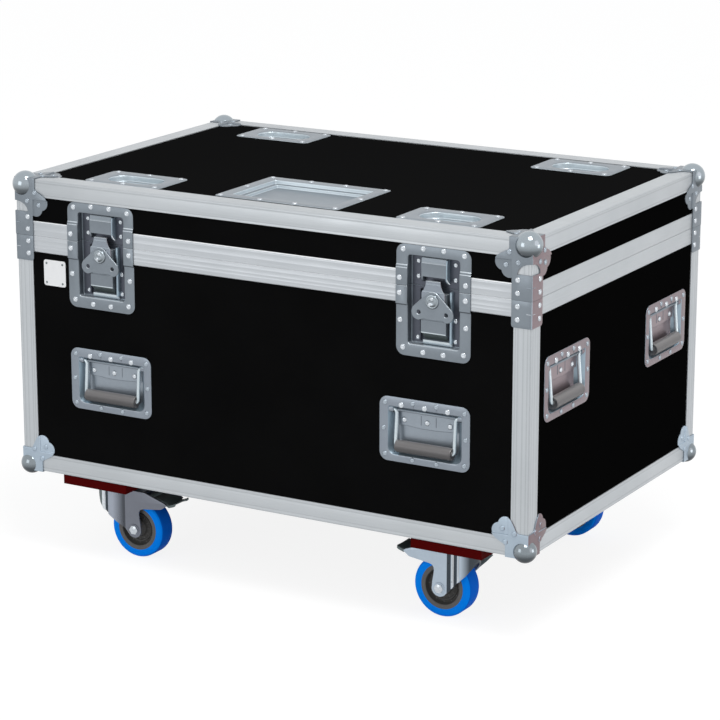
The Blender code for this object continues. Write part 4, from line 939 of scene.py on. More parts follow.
@dataclass(frozen=True)
class EdgeProfiles:
    """Drawn aluminium profiles: edges, corner posts and both halves of the closing profile."""

    finishes: tuple[str, ...] = ("drawn_x", "drawn_y", "drawn_z", "band_x", "groove")
    skin: float = 0.0018
    nip: float = 0.0004
    inner_start: float = 0.0144
    inner_end: float = 0.0159
    inner_leg: float = 0.012
    body_rim: float = 0.003
    lid_rim: float = 0.0085
    body_band: float = 0.0267
    lid_band: float = 0.0244
    body_ridges: tuple[float, ...] = (0.0062, 0.0142, 0.0196)
    lid_ridges: tuple[float, ...] = (0.0100, 0.0205)
    body_grooves: tuple[float, ...] = (0.0065, 0.0255)
    lid_grooves: tuple[float, ...] = (0.0052, 0.0252)
    flat_grooves: tuple[float, ...] = (0.0265, 0.0085)
    post_grooves: tuple[float, ...] = (0.0262, 0.0220, 0.0130, 0.0058)
    post_leg: float = 0.030
    lid_leg: float = 0.0292
    face_leg: float = 0.0325
    corner: float = 0.0022
    groove: float = 0.00016
    groove_half: float = 0.0011
    mark_depths: tuple[float, float, float] = (0.00002, 0.0003, 0.0006)
    tongue_middle: float = 0.0081
    tongue_half: float = 0.0015
    tongue_height: float = 0.0048
    tongue_room: Pair = (0.0006, 0.0008)
    tongue_stop: float = 0.05
    latch_x: float = 0.3045
    latch_room: float = 0.0457
    sharp: float = 25.0

    def ring(self, depth: float, z: float) -> Ring:
        """Return the case's plan outline, moved inwards by a depth, at a height."""
        half_x, half_y = HALF_X - depth, HALF_Y - depth
        radius = max(self.corner - depth, 0.0002)
        points = []
        for x, y, start in ((-1, -1, 180), (1, -1, 270), (1, 1, 0), (-1, 1, 90)):
            centre = (x * (half_x - radius), y * (half_y - radius))
            points += [Vector((a, b, z)) for a, b in arc(centre, radius, start, start + 90, 3)]
        return points

    def grooved(self, start: float, end: float, lines: Sequence[float],
                sign_of: int = 1) -> list[Pair]:
        """Return a leg's outer face as depth and height, with grooves or, at -1, ridges."""
        half, sink = self.groove_half, self.groove * sign_of
        sign = 1 if end > start else -1
        points = [(0.0, start)]
        for line in sorted(lines, reverse=start > end):
            points += [(0.0, line - sign * half), (sink, line - sign * half * 0.35),
                       (sink, line + sign * half * 0.35), (0.0, line + sign * half)]
        return points + [(0.0, end)]

    def loop(self, work: Work, section: Sequence[Pair], gaps: bool = False) -> None:
        """Run a closed section round the case, with room for the latches where gaps is set."""
        low, high, _ = self.mark_depths

        def choose(face: Face) -> str:
            """Return a face's finish by its side of the case and its depth."""
            middle = face.calc_center_median()
            depths = HALF_X - abs(middle.x), HALF_Y - abs(middle.y)
            # Painted shade: faces in the grooves take the darker groove finish; the band's finish
            # paints a highlight on faces that look up.
            if not gaps and low < min(depths) < high:
                return "groove"
            return "drawn_y" if depths[0] < depths[1] else "band_x" if gaps else "drawn_x"

        shape = bmesh.new()
        Work.strips(shape, [self.ring(depth, z) for depth, z in section], around=True)
        if gaps:
            self.latch_gaps(shape)
        work.add(shape, choose)

    def closing(self, work: Work, split: float, way: int, rim: float, band: float,
                lines: Sequence[float]) -> None:
        """Add one half of the closing profile.

        Args:
            work: the mesh that takes it.
            split: the height of its rim.
            way: 1 where it rises from the rim, -1 where it hangs from it.
            rim: its thickness at the rim.
            band: the height of its outer leg.
            lines: how far its ridges lie from the rim.
        """
        nip, skin, start, stop = self.nip, self.skin, self.inner_start, self.inner_end
        section = [(nip, split)]
        section += self.grooved(split + way * nip, split + way * (band - 3 * nip),
                                [split + way * line for line in lines], -1)
        section += [(2.5 * nip, split + way * band), (skin, split + way * band),
                    (skin, split + way * rim), (start, split + way * rim), (start, split)]
        if way > 0:
            middle, half = self.tongue_middle, self.tongue_half + self.tongue_room[0]
            roof = split + self.tongue_height + self.tongue_room[1]
            section += [(middle + half, split), (middle + half, roof), (middle - half, roof),
                        (middle - half, split)]
        self.loop(work, section, True)
        end = rim + self.inner_leg
        self.loop(work, [(start, split), (start, split + way * end), (stop, split + way * end),
                         (stop, split + way * nip), (stop - nip, split)])

    def edges(self, work: Work, face: float, way: int, leg: float, lines: Sequence[float]) -> None:
        """Add the angle profile round the top or the bottom of the case.

        Args:
            work: the mesh that takes it.
            face: the height of its flat face.
            way: 1 where its upright leg rises, -1 where it hangs.
            leg: the height of its upright leg.
            lines: how far the upright leg's grooves lie from the flat face.
        """
        nip, skin, far, radius = self.nip, self.skin, self.face_leg, self.corner
        section = [(far, face + way * nip), (far - nip, face)]
        for line in self.flat_grooves:
            section += [(line + self.groove_half, face), (line, face + way * self.groove),
                        (line - self.groove_half, face)]
        section += [(radius - radius * math.sin(turn),
                     face + way * (radius - radius * math.cos(turn)))
                    for turn in (0, math.pi / 8, math.pi / 4, 3 * math.pi / 8)]
        section += self.grooved(face + way * radius, face + way * (leg - nip),
                                [face + way * line for line in lines])
        section += [(nip, face + way * leg), (skin, face + way * leg), (skin, face + way * skin),
                    (far, face + way * skin)]
        self.loop(work, section)

    def posts(self, work: Work, low: float, high: float) -> None:
        """Add the four corner posts between two heights."""
        leg, radius, nip = self.post_leg, self.corner, self.nip
        shallow, _, deep = self.mark_depths
        half: list[Pair] = [(leg, nip), (leg - nip, 0.0)]
        for line in self.post_grooves:
            half += [(line + self.groove_half, 0.0), (line, self.groove),
                     (line - self.groove_half, 0.0)]
        half += arc((radius, radius), radius, 270, 225, 3)
        section = half + [(b, a) for a, b in reversed(half[:-1])]
        section += [(self.skin, leg), (self.skin, self.skin), (leg, self.skin)]

        def choose(face: Face) -> str:
            """Return a face's finish by its depth: darker, as painted shade, in the grooves and
            along the fold.
            """
            middle = face.calc_center_median()
            depths = HALF_X - abs(middle.x), HALF_Y - abs(middle.y)
            sunk = shallow < min(depths) < deep and max(depths) < leg - 0.001
            return "groove" if sunk else "drawn_z"

        for x_side in (-1, 1):
            for y_side in (-1, 1):
                shape = bmesh.new()
                Work.strips(shape, [[Vector((x_side * (HALF_X - a), y_side * (HALF_Y - b), z))
                                     for a, b in section] for z in (low, high)], True, True)
                work.add(shape, choose)

    def latch_gaps(self, shape: Shape) -> None:
        """Take the room for both latch pans out of a loop's front side and close its ends."""
        for x in (-self.latch_x, self.latch_x):
            for edge in (-self.latch_room, self.latch_room):
                Work.cut(shape, (x + edge, 0, 0), (1, 0, 0))
        dropped = [face for face in shape.faces
                   if face.calc_center_median().y < 0
                   and abs(abs(face.calc_center_median().x) - self.latch_x) < self.latch_room]
        bmesh.ops.delete(shape, geom=dropped, context="FACES")
        open_edges = [edge for edge in shape.edges if len(edge.link_faces) == 1]
        bmesh.ops.holes_fill(shape, edges=open_edges, sides=0)

    def tongue(self, work: Work, rim: float) -> None:
        """Add the body's tongue: three lengths along the front and one along each end."""
        middle, half, top = self.tongue_middle, self.tongue_half, rim + self.tongue_height
        foot, easing = rim - 0.0005, 0.0006
        front = -HALF_Y + middle
        inner, outer = self.latch_x - self.latch_room, self.latch_x + self.latch_room
        for start, end in ((-HALF_X + middle, -outer), (-inner, inner), (outer, HALF_X - middle)):
            work.block((start, front - half, foot), (end, front + half, top), easing)
        for x in (-(HALF_X - middle), HALF_X - middle):
            work.block((x - half, front - half, foot),
                       (x + half, HALF_Y - middle - self.tongue_stop, top), easing, "drawn_y")

    def build(self) -> None:
        """Build the body's and the lid's profiles."""
        rim = SPLIT_Z - GAP / 2
        work = Work(*self.finishes)
        self.closing(work, rim, -1, self.body_rim, self.body_band, self.body_ridges)
        self.edges(work, CASE_BOTTOM, 1, self.post_leg, self.body_grooves)
        self.posts(work, CASE_BOTTOM + self.post_leg, rim - self.body_band)
        self.tongue(work, rim)
        work.piece("body_edge_profiles", "case", "body_edge_frame", self.sharp)
        rim = SPLIT_Z + GAP / 2
        work = Work(*self.finishes)
        self.closing(work, rim, 1, self.lid_rim, self.lid_band, self.lid_ridges)
        self.edges(work, CASE_TOP, -1, self.lid_leg, self.lid_grooves)
        self.posts(work, rim + self.lid_band, CASE_TOP - self.lid_leg)
        work.piece("lid_edge_profiles", "lid", "lid_edge_frame", self.sharp)


@dataclass(frozen=True)
class CornerFold:
    """Folds flat leaves onto the faces that meet at a corner, whose outward signs are x, y, z."""

    x: int
    y: int
    z: int
    height: float

    def point(self, a: float, b: float, c: float) -> Vector:
        """Return the point at three distances inwards from the corner, along X, Y and Z."""
        return Vector((self.x * (HALF_X + PROUD - a), self.y * (HALF_Y + PROUD - b),
                       self.height - self.z * c))

    def front(self, a: float, b: float, sunk: float) -> Vector:
        """Fold a point of the leaf on the front or back face."""
        return self.point(a, sunk, b)

    def side(self, a: float, b: float, sunk: float) -> Vector:
        """Fold a point of the leaf on the side face."""
        return self.point(sunk, a, b)

    def flat(self, a: float, b: float, sunk: float) -> Vector:
        """Fold a point of the leaf on the top or bottom face."""
        return self.point(a, b, sunk)


@dataclass(frozen=True)
class BallCorner:
    """A pressed corner: three lobed leaves round a ball, with a brace on the lid's corners."""

    lid_ball: Pair = (0.0211, 0.0113)
    base_ball: Pair = (0.0184, 0.0092)
    wall: float = 0.0133
    reach: float = 0.0395
    shoulder: tuple[Pair, ...] = ((0.0395, 0.017), (0.0402, 0.0188), (0.0425, 0.0210),
                                  (0.0465, 0.0230), (0.0515, 0.0254))
    lobe_far: float = 0.0504
    lobe_near: float = 0.0399
    lobe_radius: float = 0.0131
    lobe_rivets: tuple[Triple, ...] = ((0.0458, 0.0440, 0.0021), (0.0393, 0.0238, 0.0),
                                       (0.0243, 0.0385, 0.0))
    lobe_rivet: Pair = (0.0043, 0.0017)
    brace: float = 0.0347
    brace_corner: float = 0.0045
    brace_rivets: float = 0.0246
    brace_rivet: Pair = (0.0044, 0.0019)
    upper_rows: Triple = (0.4317, 0.4117, 0.4217)
    lower_rows: Triple = (0.3914, 0.3712, 0.3813)
    lower_brace: float = 0.042
    arch_half: float = 0.0254
    arch_top: float = 0.0391
    arch_height: float = 0.0172
    drop: float = 0.0021
    drop_start: float = 0.0352
    drop_end: float = 0.0360
    creases: tuple[float, ...] = (0.0095, 0.018, 0.026)
    fold: float = 0.0024
    seam_start: float = 0.0300

    def leaf(self) -> list[Pair]:
        """Return a leaf's outline from the end of one arm to the end of the other."""
        lobe = arc((self.lobe_far, self.lobe_near), self.lobe_radius, -58, 79, 9)
        half = [(self.reach, 0.0), *self.shoulder] + lobe
        return half + [(b, a) for a, b in reversed(half)]

    def braced_leaf(self, length: float) -> list[Pair]:
        """Return the outline of a leaf that runs on into a brace, with half its arched window."""
        far, near, radius = self.lobe_far, self.lobe_near, self.lobe_radius
        end = math.degrees(math.acos((self.brace - near) / radius))
        foot = self.arch_top + self.arch_height
        points = [(self.reach, 0.0), *self.shoulder]
        points += arc((far, near), radius, -58, 79, 9) + arc((near, far), radius, 11, end, 8)
        points += [(self.brace, length), (0.0, length), (0.0, foot)]
        turns = [math.pi / 2 * k / 7 for k in range(8)]
        return points + [(self.arch_half * math.cos(turn),
                          foot - self.arch_height * math.sin(turn)) for turn in turns]

    def sheets(self, work: Work, flaps: Sequence[Flap], outward: Triple, finish: str) -> None:
        """Add leaves that share their folded edges as one pressed sheet.

        Args:
            work: the mesh that takes them.
            flaps: each leaf's outline and the function that folds it onto its face.
            outward: a direction that looks away from the case.
            finish: which finish it has.
        """
        shape = bmesh.new()
        for outline, fold in flaps:
            flat = bmesh.new()
            start = [] if outline[0] == (0.0, 0.0) else [(0.0, 0.0)]
            flat.faces.new([flat.verts.new((a, b, 0)) for a, b in start + outline])
            for place in (*self.creases, self.drop_start, self.drop_end):
                for normal in ((1, 0, 0), (0, 1, 0)):
                    Work.cut(flat, (place, place, 0), normal)
            for vertex in flat.verts:
                a, b = vertex.co.x, vertex.co.y
                vertex.co = fold(a, b, self.sink(a) * self.sink(b) * self.drop)
            pour(flat, shape)
        bmesh.ops.remove_doubles(shape, verts=shape.verts, dist=0.00002)
        shape.normal_update()
        bmesh.ops.recalc_face_normals(shape, faces=shape.faces)
        bmesh.ops.bevel(shape, geom=Work.sharp(shape), offset=self.fold, segments=3, profile=0.5,
                        affect="EDGES", clamp_overlap=True)
        Work.thicken(shape, outward, SHEET, 0.00035)
        work.add(shape, finish)

    def sink(self, distance: float) -> float:
        """Return a leaf's drop to the panel at a distance from an edge, from 0 to 1."""
        share = (distance - self.drop_start) / (self.drop_end - self.drop_start)
        return min(max(share, 0.0), 1.0)

    def corner(self, name: str, x_side: int, y_side: int, top: bool) -> None:
        """Build one corner with its ball, leaves and rivets.

        Args:
            name: the solid's name.
            x_side: -1 for the left, 1 for the right.
            y_side: -1 for the front, 1 for the back.
            top: whether it sits on the lid.
        """
        fold = CornerFold(x_side, y_side, 1 if top else -1,
                          CASE_TOP + PROUD if top else CASE_BOTTOM - PROUD)
        outward = (x_side, y_side, fold.z)
        length = fold.height - SPLIT_Z - GAP / 2
        # Only the front right corner takes the finishes with a painted rose reflection; the base
        # corners take the lighter plating, a painted reflection, for leaves and rivets, and a
        # darker ball, painted shade.
        sheet = ("zinc" if top else "zinc_light") + ("" if x_side > 0 > y_side else "_left")
        soft, ball = ("rivet_soft", "ball") if top else (sheet, "ball_low")
        work = Work(sheet, soft, ball, "rivet")
        upright = self.braced_leaf(length) if top else self.leaf()
        flaps = ((upright, fold.front), (upright, fold.side), (self.leaf(), fold.flat))
        self.sheets(work, flaps, outward, sheet)
        radius, deep = self.lid_ball if top else self.base_ball
        centre = fold.point(*(deep + PROUD,) * 3)
        self.ball(work, centre, radius, outward, self.wall - deep, ball)
        for (_, place), axis in zip(flaps, ((0, y_side, 0), (x_side, 0, 0), (0, 0, fold.z))):
            work.rivets([place(*spot) for spot in self.lobe_rivets], axis, *self.lobe_rivet, soft)
            if top and not axis[2]:
                self.rows(work, place, axis, fold.height, self.upper_rows, soft)
        if top:
            arch = self.arch_top + self.arch_height
            self.seam(work, fold, ((self.seam_start, self.arch_top), (arch + 0.0006, length)),
                      0.0009, soft)
        work.piece(name + "_pressed", "lid" if top else "case", name)

    @staticmethod
    def ball(work: Work, centre: Vector, radius: float, corner: Triple, room: float,
             finish: str) -> None:
        """Add a ball whose inner part stays within the thickness of the case's walls.

        Args:
            work: the mesh that takes it.
            centre: of the ball.
            radius: of the ball.
            corner: the signs of the corner's outward directions.
            room: how far the walls reach in beyond the ball's centre.
            finish: which finish it has.
        """
        shape = bmesh.new()
        bmesh.ops.create_uvsphere(shape, u_segments=48, v_segments=30, radius=radius)
        for vertex in shape.verts:
            reach = max(part * way for part, way in zip(vertex.co, corner))
            if reach < -room:
                vertex.co *= room / -reach
            vertex.co += centre
        work.add(shape, finish)

    def rows(self, work: Work, place: Fold, axis: Triple, height: float, rows: Triple,
             finish: str) -> None:
        """Add a brace's two rivets and the fine raised seam between them.

        Args:
            work: the mesh that takes them.
            place: folds a point onto the brace's face.
            axis: the direction the rivets stand out.
            height: from which the folding starts.
            rows: how high the rivets and the seam lie above the case's bottom.
            finish: which finish the seam has.
        """
        upper, lower, middle = [height - CASE_BOTTOM - row for row in rows]
        spots = [place(self.brace_rivets, b, 0) for b in (upper, lower)]
        work.rivets(spots, axis, *self.brace_rivet)
        # The ridge takes a rivet finish, lighter than the sheet, as a painted highlight.
        ridge = mm((-0.5, 0.2), (-0.4, -0.5), (0.4, -0.5), (0.5, 0.2))
        work.loft([[place(a, middle + up, out) for up, out in ridge] for a in (0.0022, 0.0095)],
                  finish)

    @staticmethod
    def seam(work: Work, fold: CornerFold, spans: Sequence[Pair], radius: float,
             finish: str) -> None:
        """Add the bent edge down a corner in a lighter finish, as a painted highlight.

        Args:
            work: the mesh that takes it.
            fold: the corner.
            spans: pairs of distances below the corner that it runs between.
            radius: how round the fold is.
            finish: which finish it has.
        """
        centre = (radius, radius)
        bend = arc(centre, radius + 0.0002, 205, 245, 3) + arc(centre, radius * 0.6, 245, 205, 3)
        for span in spans:
            work.loft([[fold.point(a, b, depth) for a, b in bend] for depth in span], finish)

    def lower_braces(self) -> None:
        """Build the four lower halves of the braces, which stay on the body."""
        work = Work("zinc", "rivet", "rivet_soft", "zinc_left")
        wide, deep, round_off = self.brace, self.lower_brace, self.brace_corner
        outline = [(wide, 0.0), (wide, deep - round_off)]
        outline += arc((wide - round_off, deep - round_off), round_off, 0, 90, 5)
        outline += [(0.0, deep)]
        for _, x_side, y_side in CORNERS:
            fold = CornerFold(x_side, y_side, 1, SPLIT_Z - GAP / 2)
            flaps = ((outline, fold.front), (outline, fold.side))
            # Only the front right brace takes the plating with a painted rose reflection.
            self.sheets(work, flaps, (x_side, y_side, 0),
                        "zinc" if x_side > 0 > y_side else "zinc_left")
            for (_, place), axis in zip(flaps, ((0, y_side, 0), (x_side, 0, 0))):
                self.rows(work, place, axis, fold.height, self.lower_rows, "rivet")
            self.seam(work, fold, ((0.0, deep - 0.0005),), self.fold, "rivet_soft")
        work.piece("body_corner_braces", "case")

    def build(self) -> None:
        """Build all eight corners and the lower halves of the braces."""
        for word, x_side, y_side in CORNERS:
            self.corner("lid_corner_" + word, x_side, y_side, True)
            self.corner("base_corner_" + word, x_side, y_side, False)
        self.lower_braces()


@dataclass(frozen=True)
class ButterflyLatch:
    """A recessed latch: two cranked dishes, keeper, sliding hook and turning wing."""

    finishes: tuple[str, ...] = ("zinc_latch", "rivet", "zinc_dark", "wire", "zinc_blue", "slope_shade",
                                 "zinc_wall")
    x: float = 0.3045
    rim: Outline = Outline(0.064, -0.1095, 0.0644, 0.014, 0.014, 8)
    pan: Outline = Outline(0.0442, -0.0905, 0.0475, 0.0045, 0.0045, 8)
    depth: float = 0.0105
    bend: float = 0.0021
    rise: float = 0.0024
    cranks: tuple[Triple, ...] = ((-0.0312, -0.0288, 0.0024), (0.0324, 0.0310, -0.0014),
                                  (0.0280, 0.0270, -0.0010))
    wall_start: float = 0.0012
    chamfer: float = 0.0011
    plate_inset: float = 0.0026
    housing: float = 0.0212
    toe_end: float = 0.0286
    keeper: float = 0.0208
    floor_rivet: float = 0.0040
    spindle_drop: float = 0.0195
    wing_lobe: float = 0.0125
    wing_spread: float = 0.0235
    wing_drop: float = -0.0185
    wing_hub: float = 0.0150

    def crank(self, point: Vector) -> Vector:
        """Move a point of the dish outwards where the rim steps over the closing profile."""
        out = 0.0
        for start, end, rise in self.cranks:
            share = min(max((point.z - start) / (end - start), 0.0), 1.0)
            out += abs(rise) * share if rise < 0 else rise * share - rise
        weight = 1.0 if point.y < 0.001 else max(0.0, 1 - (point.y - 0.001) / 0.008)
        moved = point - Vector((0, max(out, 0.0) * weight, 0))
        if -self.chamfer < point.z < 0 and point.y < 0.001:
            moved.y += self.chamfer * 0.8 * (1 + point.z / self.chamfer)
        return moved

    def dish(self, work: Work, way: int) -> None:
        """Add one half of the pressed dish, whose walls and inner plate are darker as painted
        shade: -1 is the body's half.
        """
        cuts = [((0, 0, z), (0, 0, 1), False)
                for start, end, _ in self.cranks for z in (start, end)]
        cuts += [((0, 0, -self.chamfer), (0, 0, 1), False),
                 ((0, 0, way * GAP / 2), (0, 0, -way), True)]
        rings = press(self.rim, ((self.pan, self.depth),), -PROUD, self.bend)
        work.sheet(rings, cuts=cuts, move=self.crank, deep=(self.wall_start, "zinc_wall"))
        inset_by = self.plate_inset
        low, high = ((self.pan.low + inset_by, -0.0006) if way < 0
                     else (0.0006, self.pan.high - inset_by))
        plate = Outline(self.pan.half - inset_by, low, high, 0.0012, 0.0012, 2)
        work.slab(plate.points(), self.depth - 0.0004, self.depth + 0.0001, "Y", 0.0001,
                  "zinc_dark")

    def rivet_rows(self, work: Work, flange: Sequence[Pair], raised: Sequence[Pair],
                   floor: Sequence[Pair]) -> None:
        """Add a dish's rivets: on its flange, on the flange's raised part and on its floor."""
        work.rivets([(x, -PROUD, z) for x, z in flange])
        work.rivets([(x, -PROUD - self.rise, z) for x, z in raised])
        work.rivets([(x, self.depth - 0.0004, z) for x, z in floor], radius=self.floor_rivet)

    def lower(self, place: Matrix, word: str) -> None:
        """Build the body's half: dish, housing, guide ribs and rivets."""
        work = Work(*self.finishes, place=place)
        self.dish(work, -1)
        half, floor = self.housing, self.depth
        work.slab([(-0.0005, -0.008), (floor, -0.008), (floor, -0.080), (0.0035, -0.0735),
                   (-0.0005, -0.0700)], -half, half, "X", 0.0005)
        work.slab(mm((-1.2, -50.5), (0, -50.5), (0, -70.4), (-0.7, -70.4), (-1.2, -69)),
                  -half - 0.0004, half + 0.0004, "X", 0.0005)
        # A bright strip along the housing's lower edge, a painted highlight, and below it the
        # slope in a dark finish, painted shade.
        work.slab(mm((-1.4, -68.8), (-0.8, -70.6), (0.6, -70.6), (-0.6, -68.8)), -half, half,
                  "X", 0.0001, "wire")
        work.slab([(0.0, -0.0706), (floor, -0.0825), (floor, -0.0800), (0.0012, -0.0706)],
                  -half + 0.0010, half - 0.0010, "X", 0.0002, "slope_shade")
        work.slab([(floor - 0.0055, -0.0826), (floor, -0.0826), (floor, -0.0892),
                   (floor - 0.0040, -0.0892), (floor - 0.0055, -0.0870)], -half, self.toe_end,
                  "X", 0.0005, "wire")
        rib = [(0.0042, -0.0050), (0.0052, -0.004), (floor, -0.004), (floor, -0.0850),
               (0.0052, -0.0850), (0.0042, -0.0840)]
        # The left rib takes a dark finish, painted shade, and the right one the lit finish,
        # painted reflection.
        work.slab(rib, -0.0272, -0.0248, "X", 0.0006, "zinc_dark")
        work.slab(rib, 0.0248, 0.0287, "X", 0.0006, "zinc_blue")
        self.rivet_rows(work, mm((-52.4, -97), (52, -97), (-17.5, -101.5), (17.2, -101.5),
                                 (-57.5, -54.7), (55.5, -54.7)), mm((-57.5, -12), (55.5, -12)),
                        mm((-32.2, -48.9), (-32.2, -81.3), (32.2, -48.9), (32.2, -81.3)))
        work.piece("latch_lower_dish_" + word, "case", "latch_dish_" + word)

    def upper(self, place: Matrix, word: str) -> None:
        """Build the lid's half: dish, keeper with its lip and side legs, and rivets."""
        first, second, dark, bright, blue, *others = self.finishes
        work = Work(first, second, dark, blue, bright, *others, place=place)
        self.dish(work, 1)
        floor = self.depth
        profile = mm((2.4, 46.8), (0.6, 45.8), (-0.2, 38.5), (-0.9, 37.6), (-0.5, 36.6),
                     (-0.5, 17.2), (1, 17.2), (1, 36.6), (1.2, 38.8), (1.6, 44.6), (3, 45.4))
        work.slab([(floor, 0.0468), *profile, (floor, 0.0454)], -self.keeper, self.keeper, "X")
        leg = mm((1.2, 45), (-0.2, 37), (-0.2, 16.5), (1.2, 11.8), (4, 8.6), (6.8, 7.6))
        leg = [(floor, 0.0450), *leg, (floor, 0.0076)]
        work.slab(leg, -0.0222, -0.0194, "X", 0.0006)
        # The right leg takes the lit finish, a painted reflection, and its curl the bright rivet
        # finish, a painted highlight.
        work.slab(leg, 0.0194, 0.0222, "X", 0.0006, "zinc_blue")
        curl = mm((21.8, 0.2, 16.5), (22.6, 0.4, 13.8), (24.2, 1.2, 11), (26.4, 2.2, 9))
        work.tube(curl, 0.0012, 10, "rivet")
        self.rivet_rows(work, mm((-52.4, 55.9), (-17.8, 59.5), (17.1, 59.5), (52.1, 55.9)),
                        mm((-57.5, 11.6), (55.5, 11.6)),
                        mm((-31.8, 37.8), (-31.8, 14), (31.8, 37.8), (31.8, 14)))
        work.piece("latch_upper_dish_" + word, "lid", "latch_keeper_dish_" + word)

    def hook(self, place: Matrix, word: str) -> None:
        """Build the sliding hook plate with its pressed step and curled tip."""
        work = Work("zinc_pale", "rivet_soft", place=place)
        right = [(0.0200, -0.0420), *arc((0.0160, -0.0080), 0.0040, 0, 75, 4)]
        right += mm((13.6, 4), (12.4, 10.4), (11.4, 11.2))
        work.slab(right + flipped(right), -0.0028, -0.0009, "Y", 0.0005)
        lip = mm((-0.8, 10), (-2.8, 10), (-3.1, 10.6), (-2.6, 11.3), (2.2, 11.3), (2.2, 10))
        work.slab(lip, -0.0116, 0.0116, "X")
        for low, half in ((-0.0062, 0.0185), (0.0056, 0.0118)):
            step = mm((-2, 0), (-3, 0), (-3.4, 0.7), (-2.8, 1.8), (-2, 1.8))
            work.slab([(y, low + z) for y, z in step], -half, half, "X", 0.0002, "rivet_soft")
        work.piece("latch_hook_plate_" + word, "hook_" + word, "latch_hook_" + word)

    def wing(self, place: Matrix, word: str) -> None:
        """Build the butterfly wing with its two holes, ringed knob and spindle."""
        work = Work("zinc_latch", "ball", "rivet",
                    place=place @ Matrix.Translation((0, 0, -self.spindle_drop)))
        spread, drop = self.wing_spread, self.wing_drop
        right = arc((0, 0), self.wing_hub, 90, 36, 7)
        right += arc((spread, drop), self.wing_lobe, 48, -88, 14)
        right += [(0.0150, drop - 0.0095), (0.0075, drop - 0.0105)]
        holes = [arc((side * spread, drop), 0.0033, 0, 345, 15) for side in (-1, 1)]
        work.slab(right + flipped(right[1:]), -0.0051, -0.0031, "Y", 0.0006, "zinc_latch", holes)
        base = (0, -0.0048, 0)
        knob = mm((0, 0), (11.2, 0), (11.2, 1.4), (10.6, 2.2), (9.2, 2.6), (8.4, 2.3), (7.8, 2.6),
                  (7, 3.4), (5, 3.8), (4.4, 3.5), (0, 3.4))
        work.turned(knob, base, FRONT, 36, "ball")
        for a, b in arc((0, 0), 0.0050, 80, 235, 1):
            work.rivets([(a, -0.0080, b)], FRONT, 0.0031, 0.0021)
        work.turned(mm((0, 0), (4, 0), (4, -9.8), (0, -9.8)), base, FRONT, 16, "ball")
        work.piece("latch_butterfly_" + word, "wing_" + word, "latch_wing_" + word)

    def build(self) -> None:
        """Build both latches."""
        for word, side in SIDES:
            place = Matrix.Translation((side * self.x, -PANEL_Y, SPLIT_Z))
            for part in (self.lower, self.upper, self.hook, self.wing):
                part(place, word)


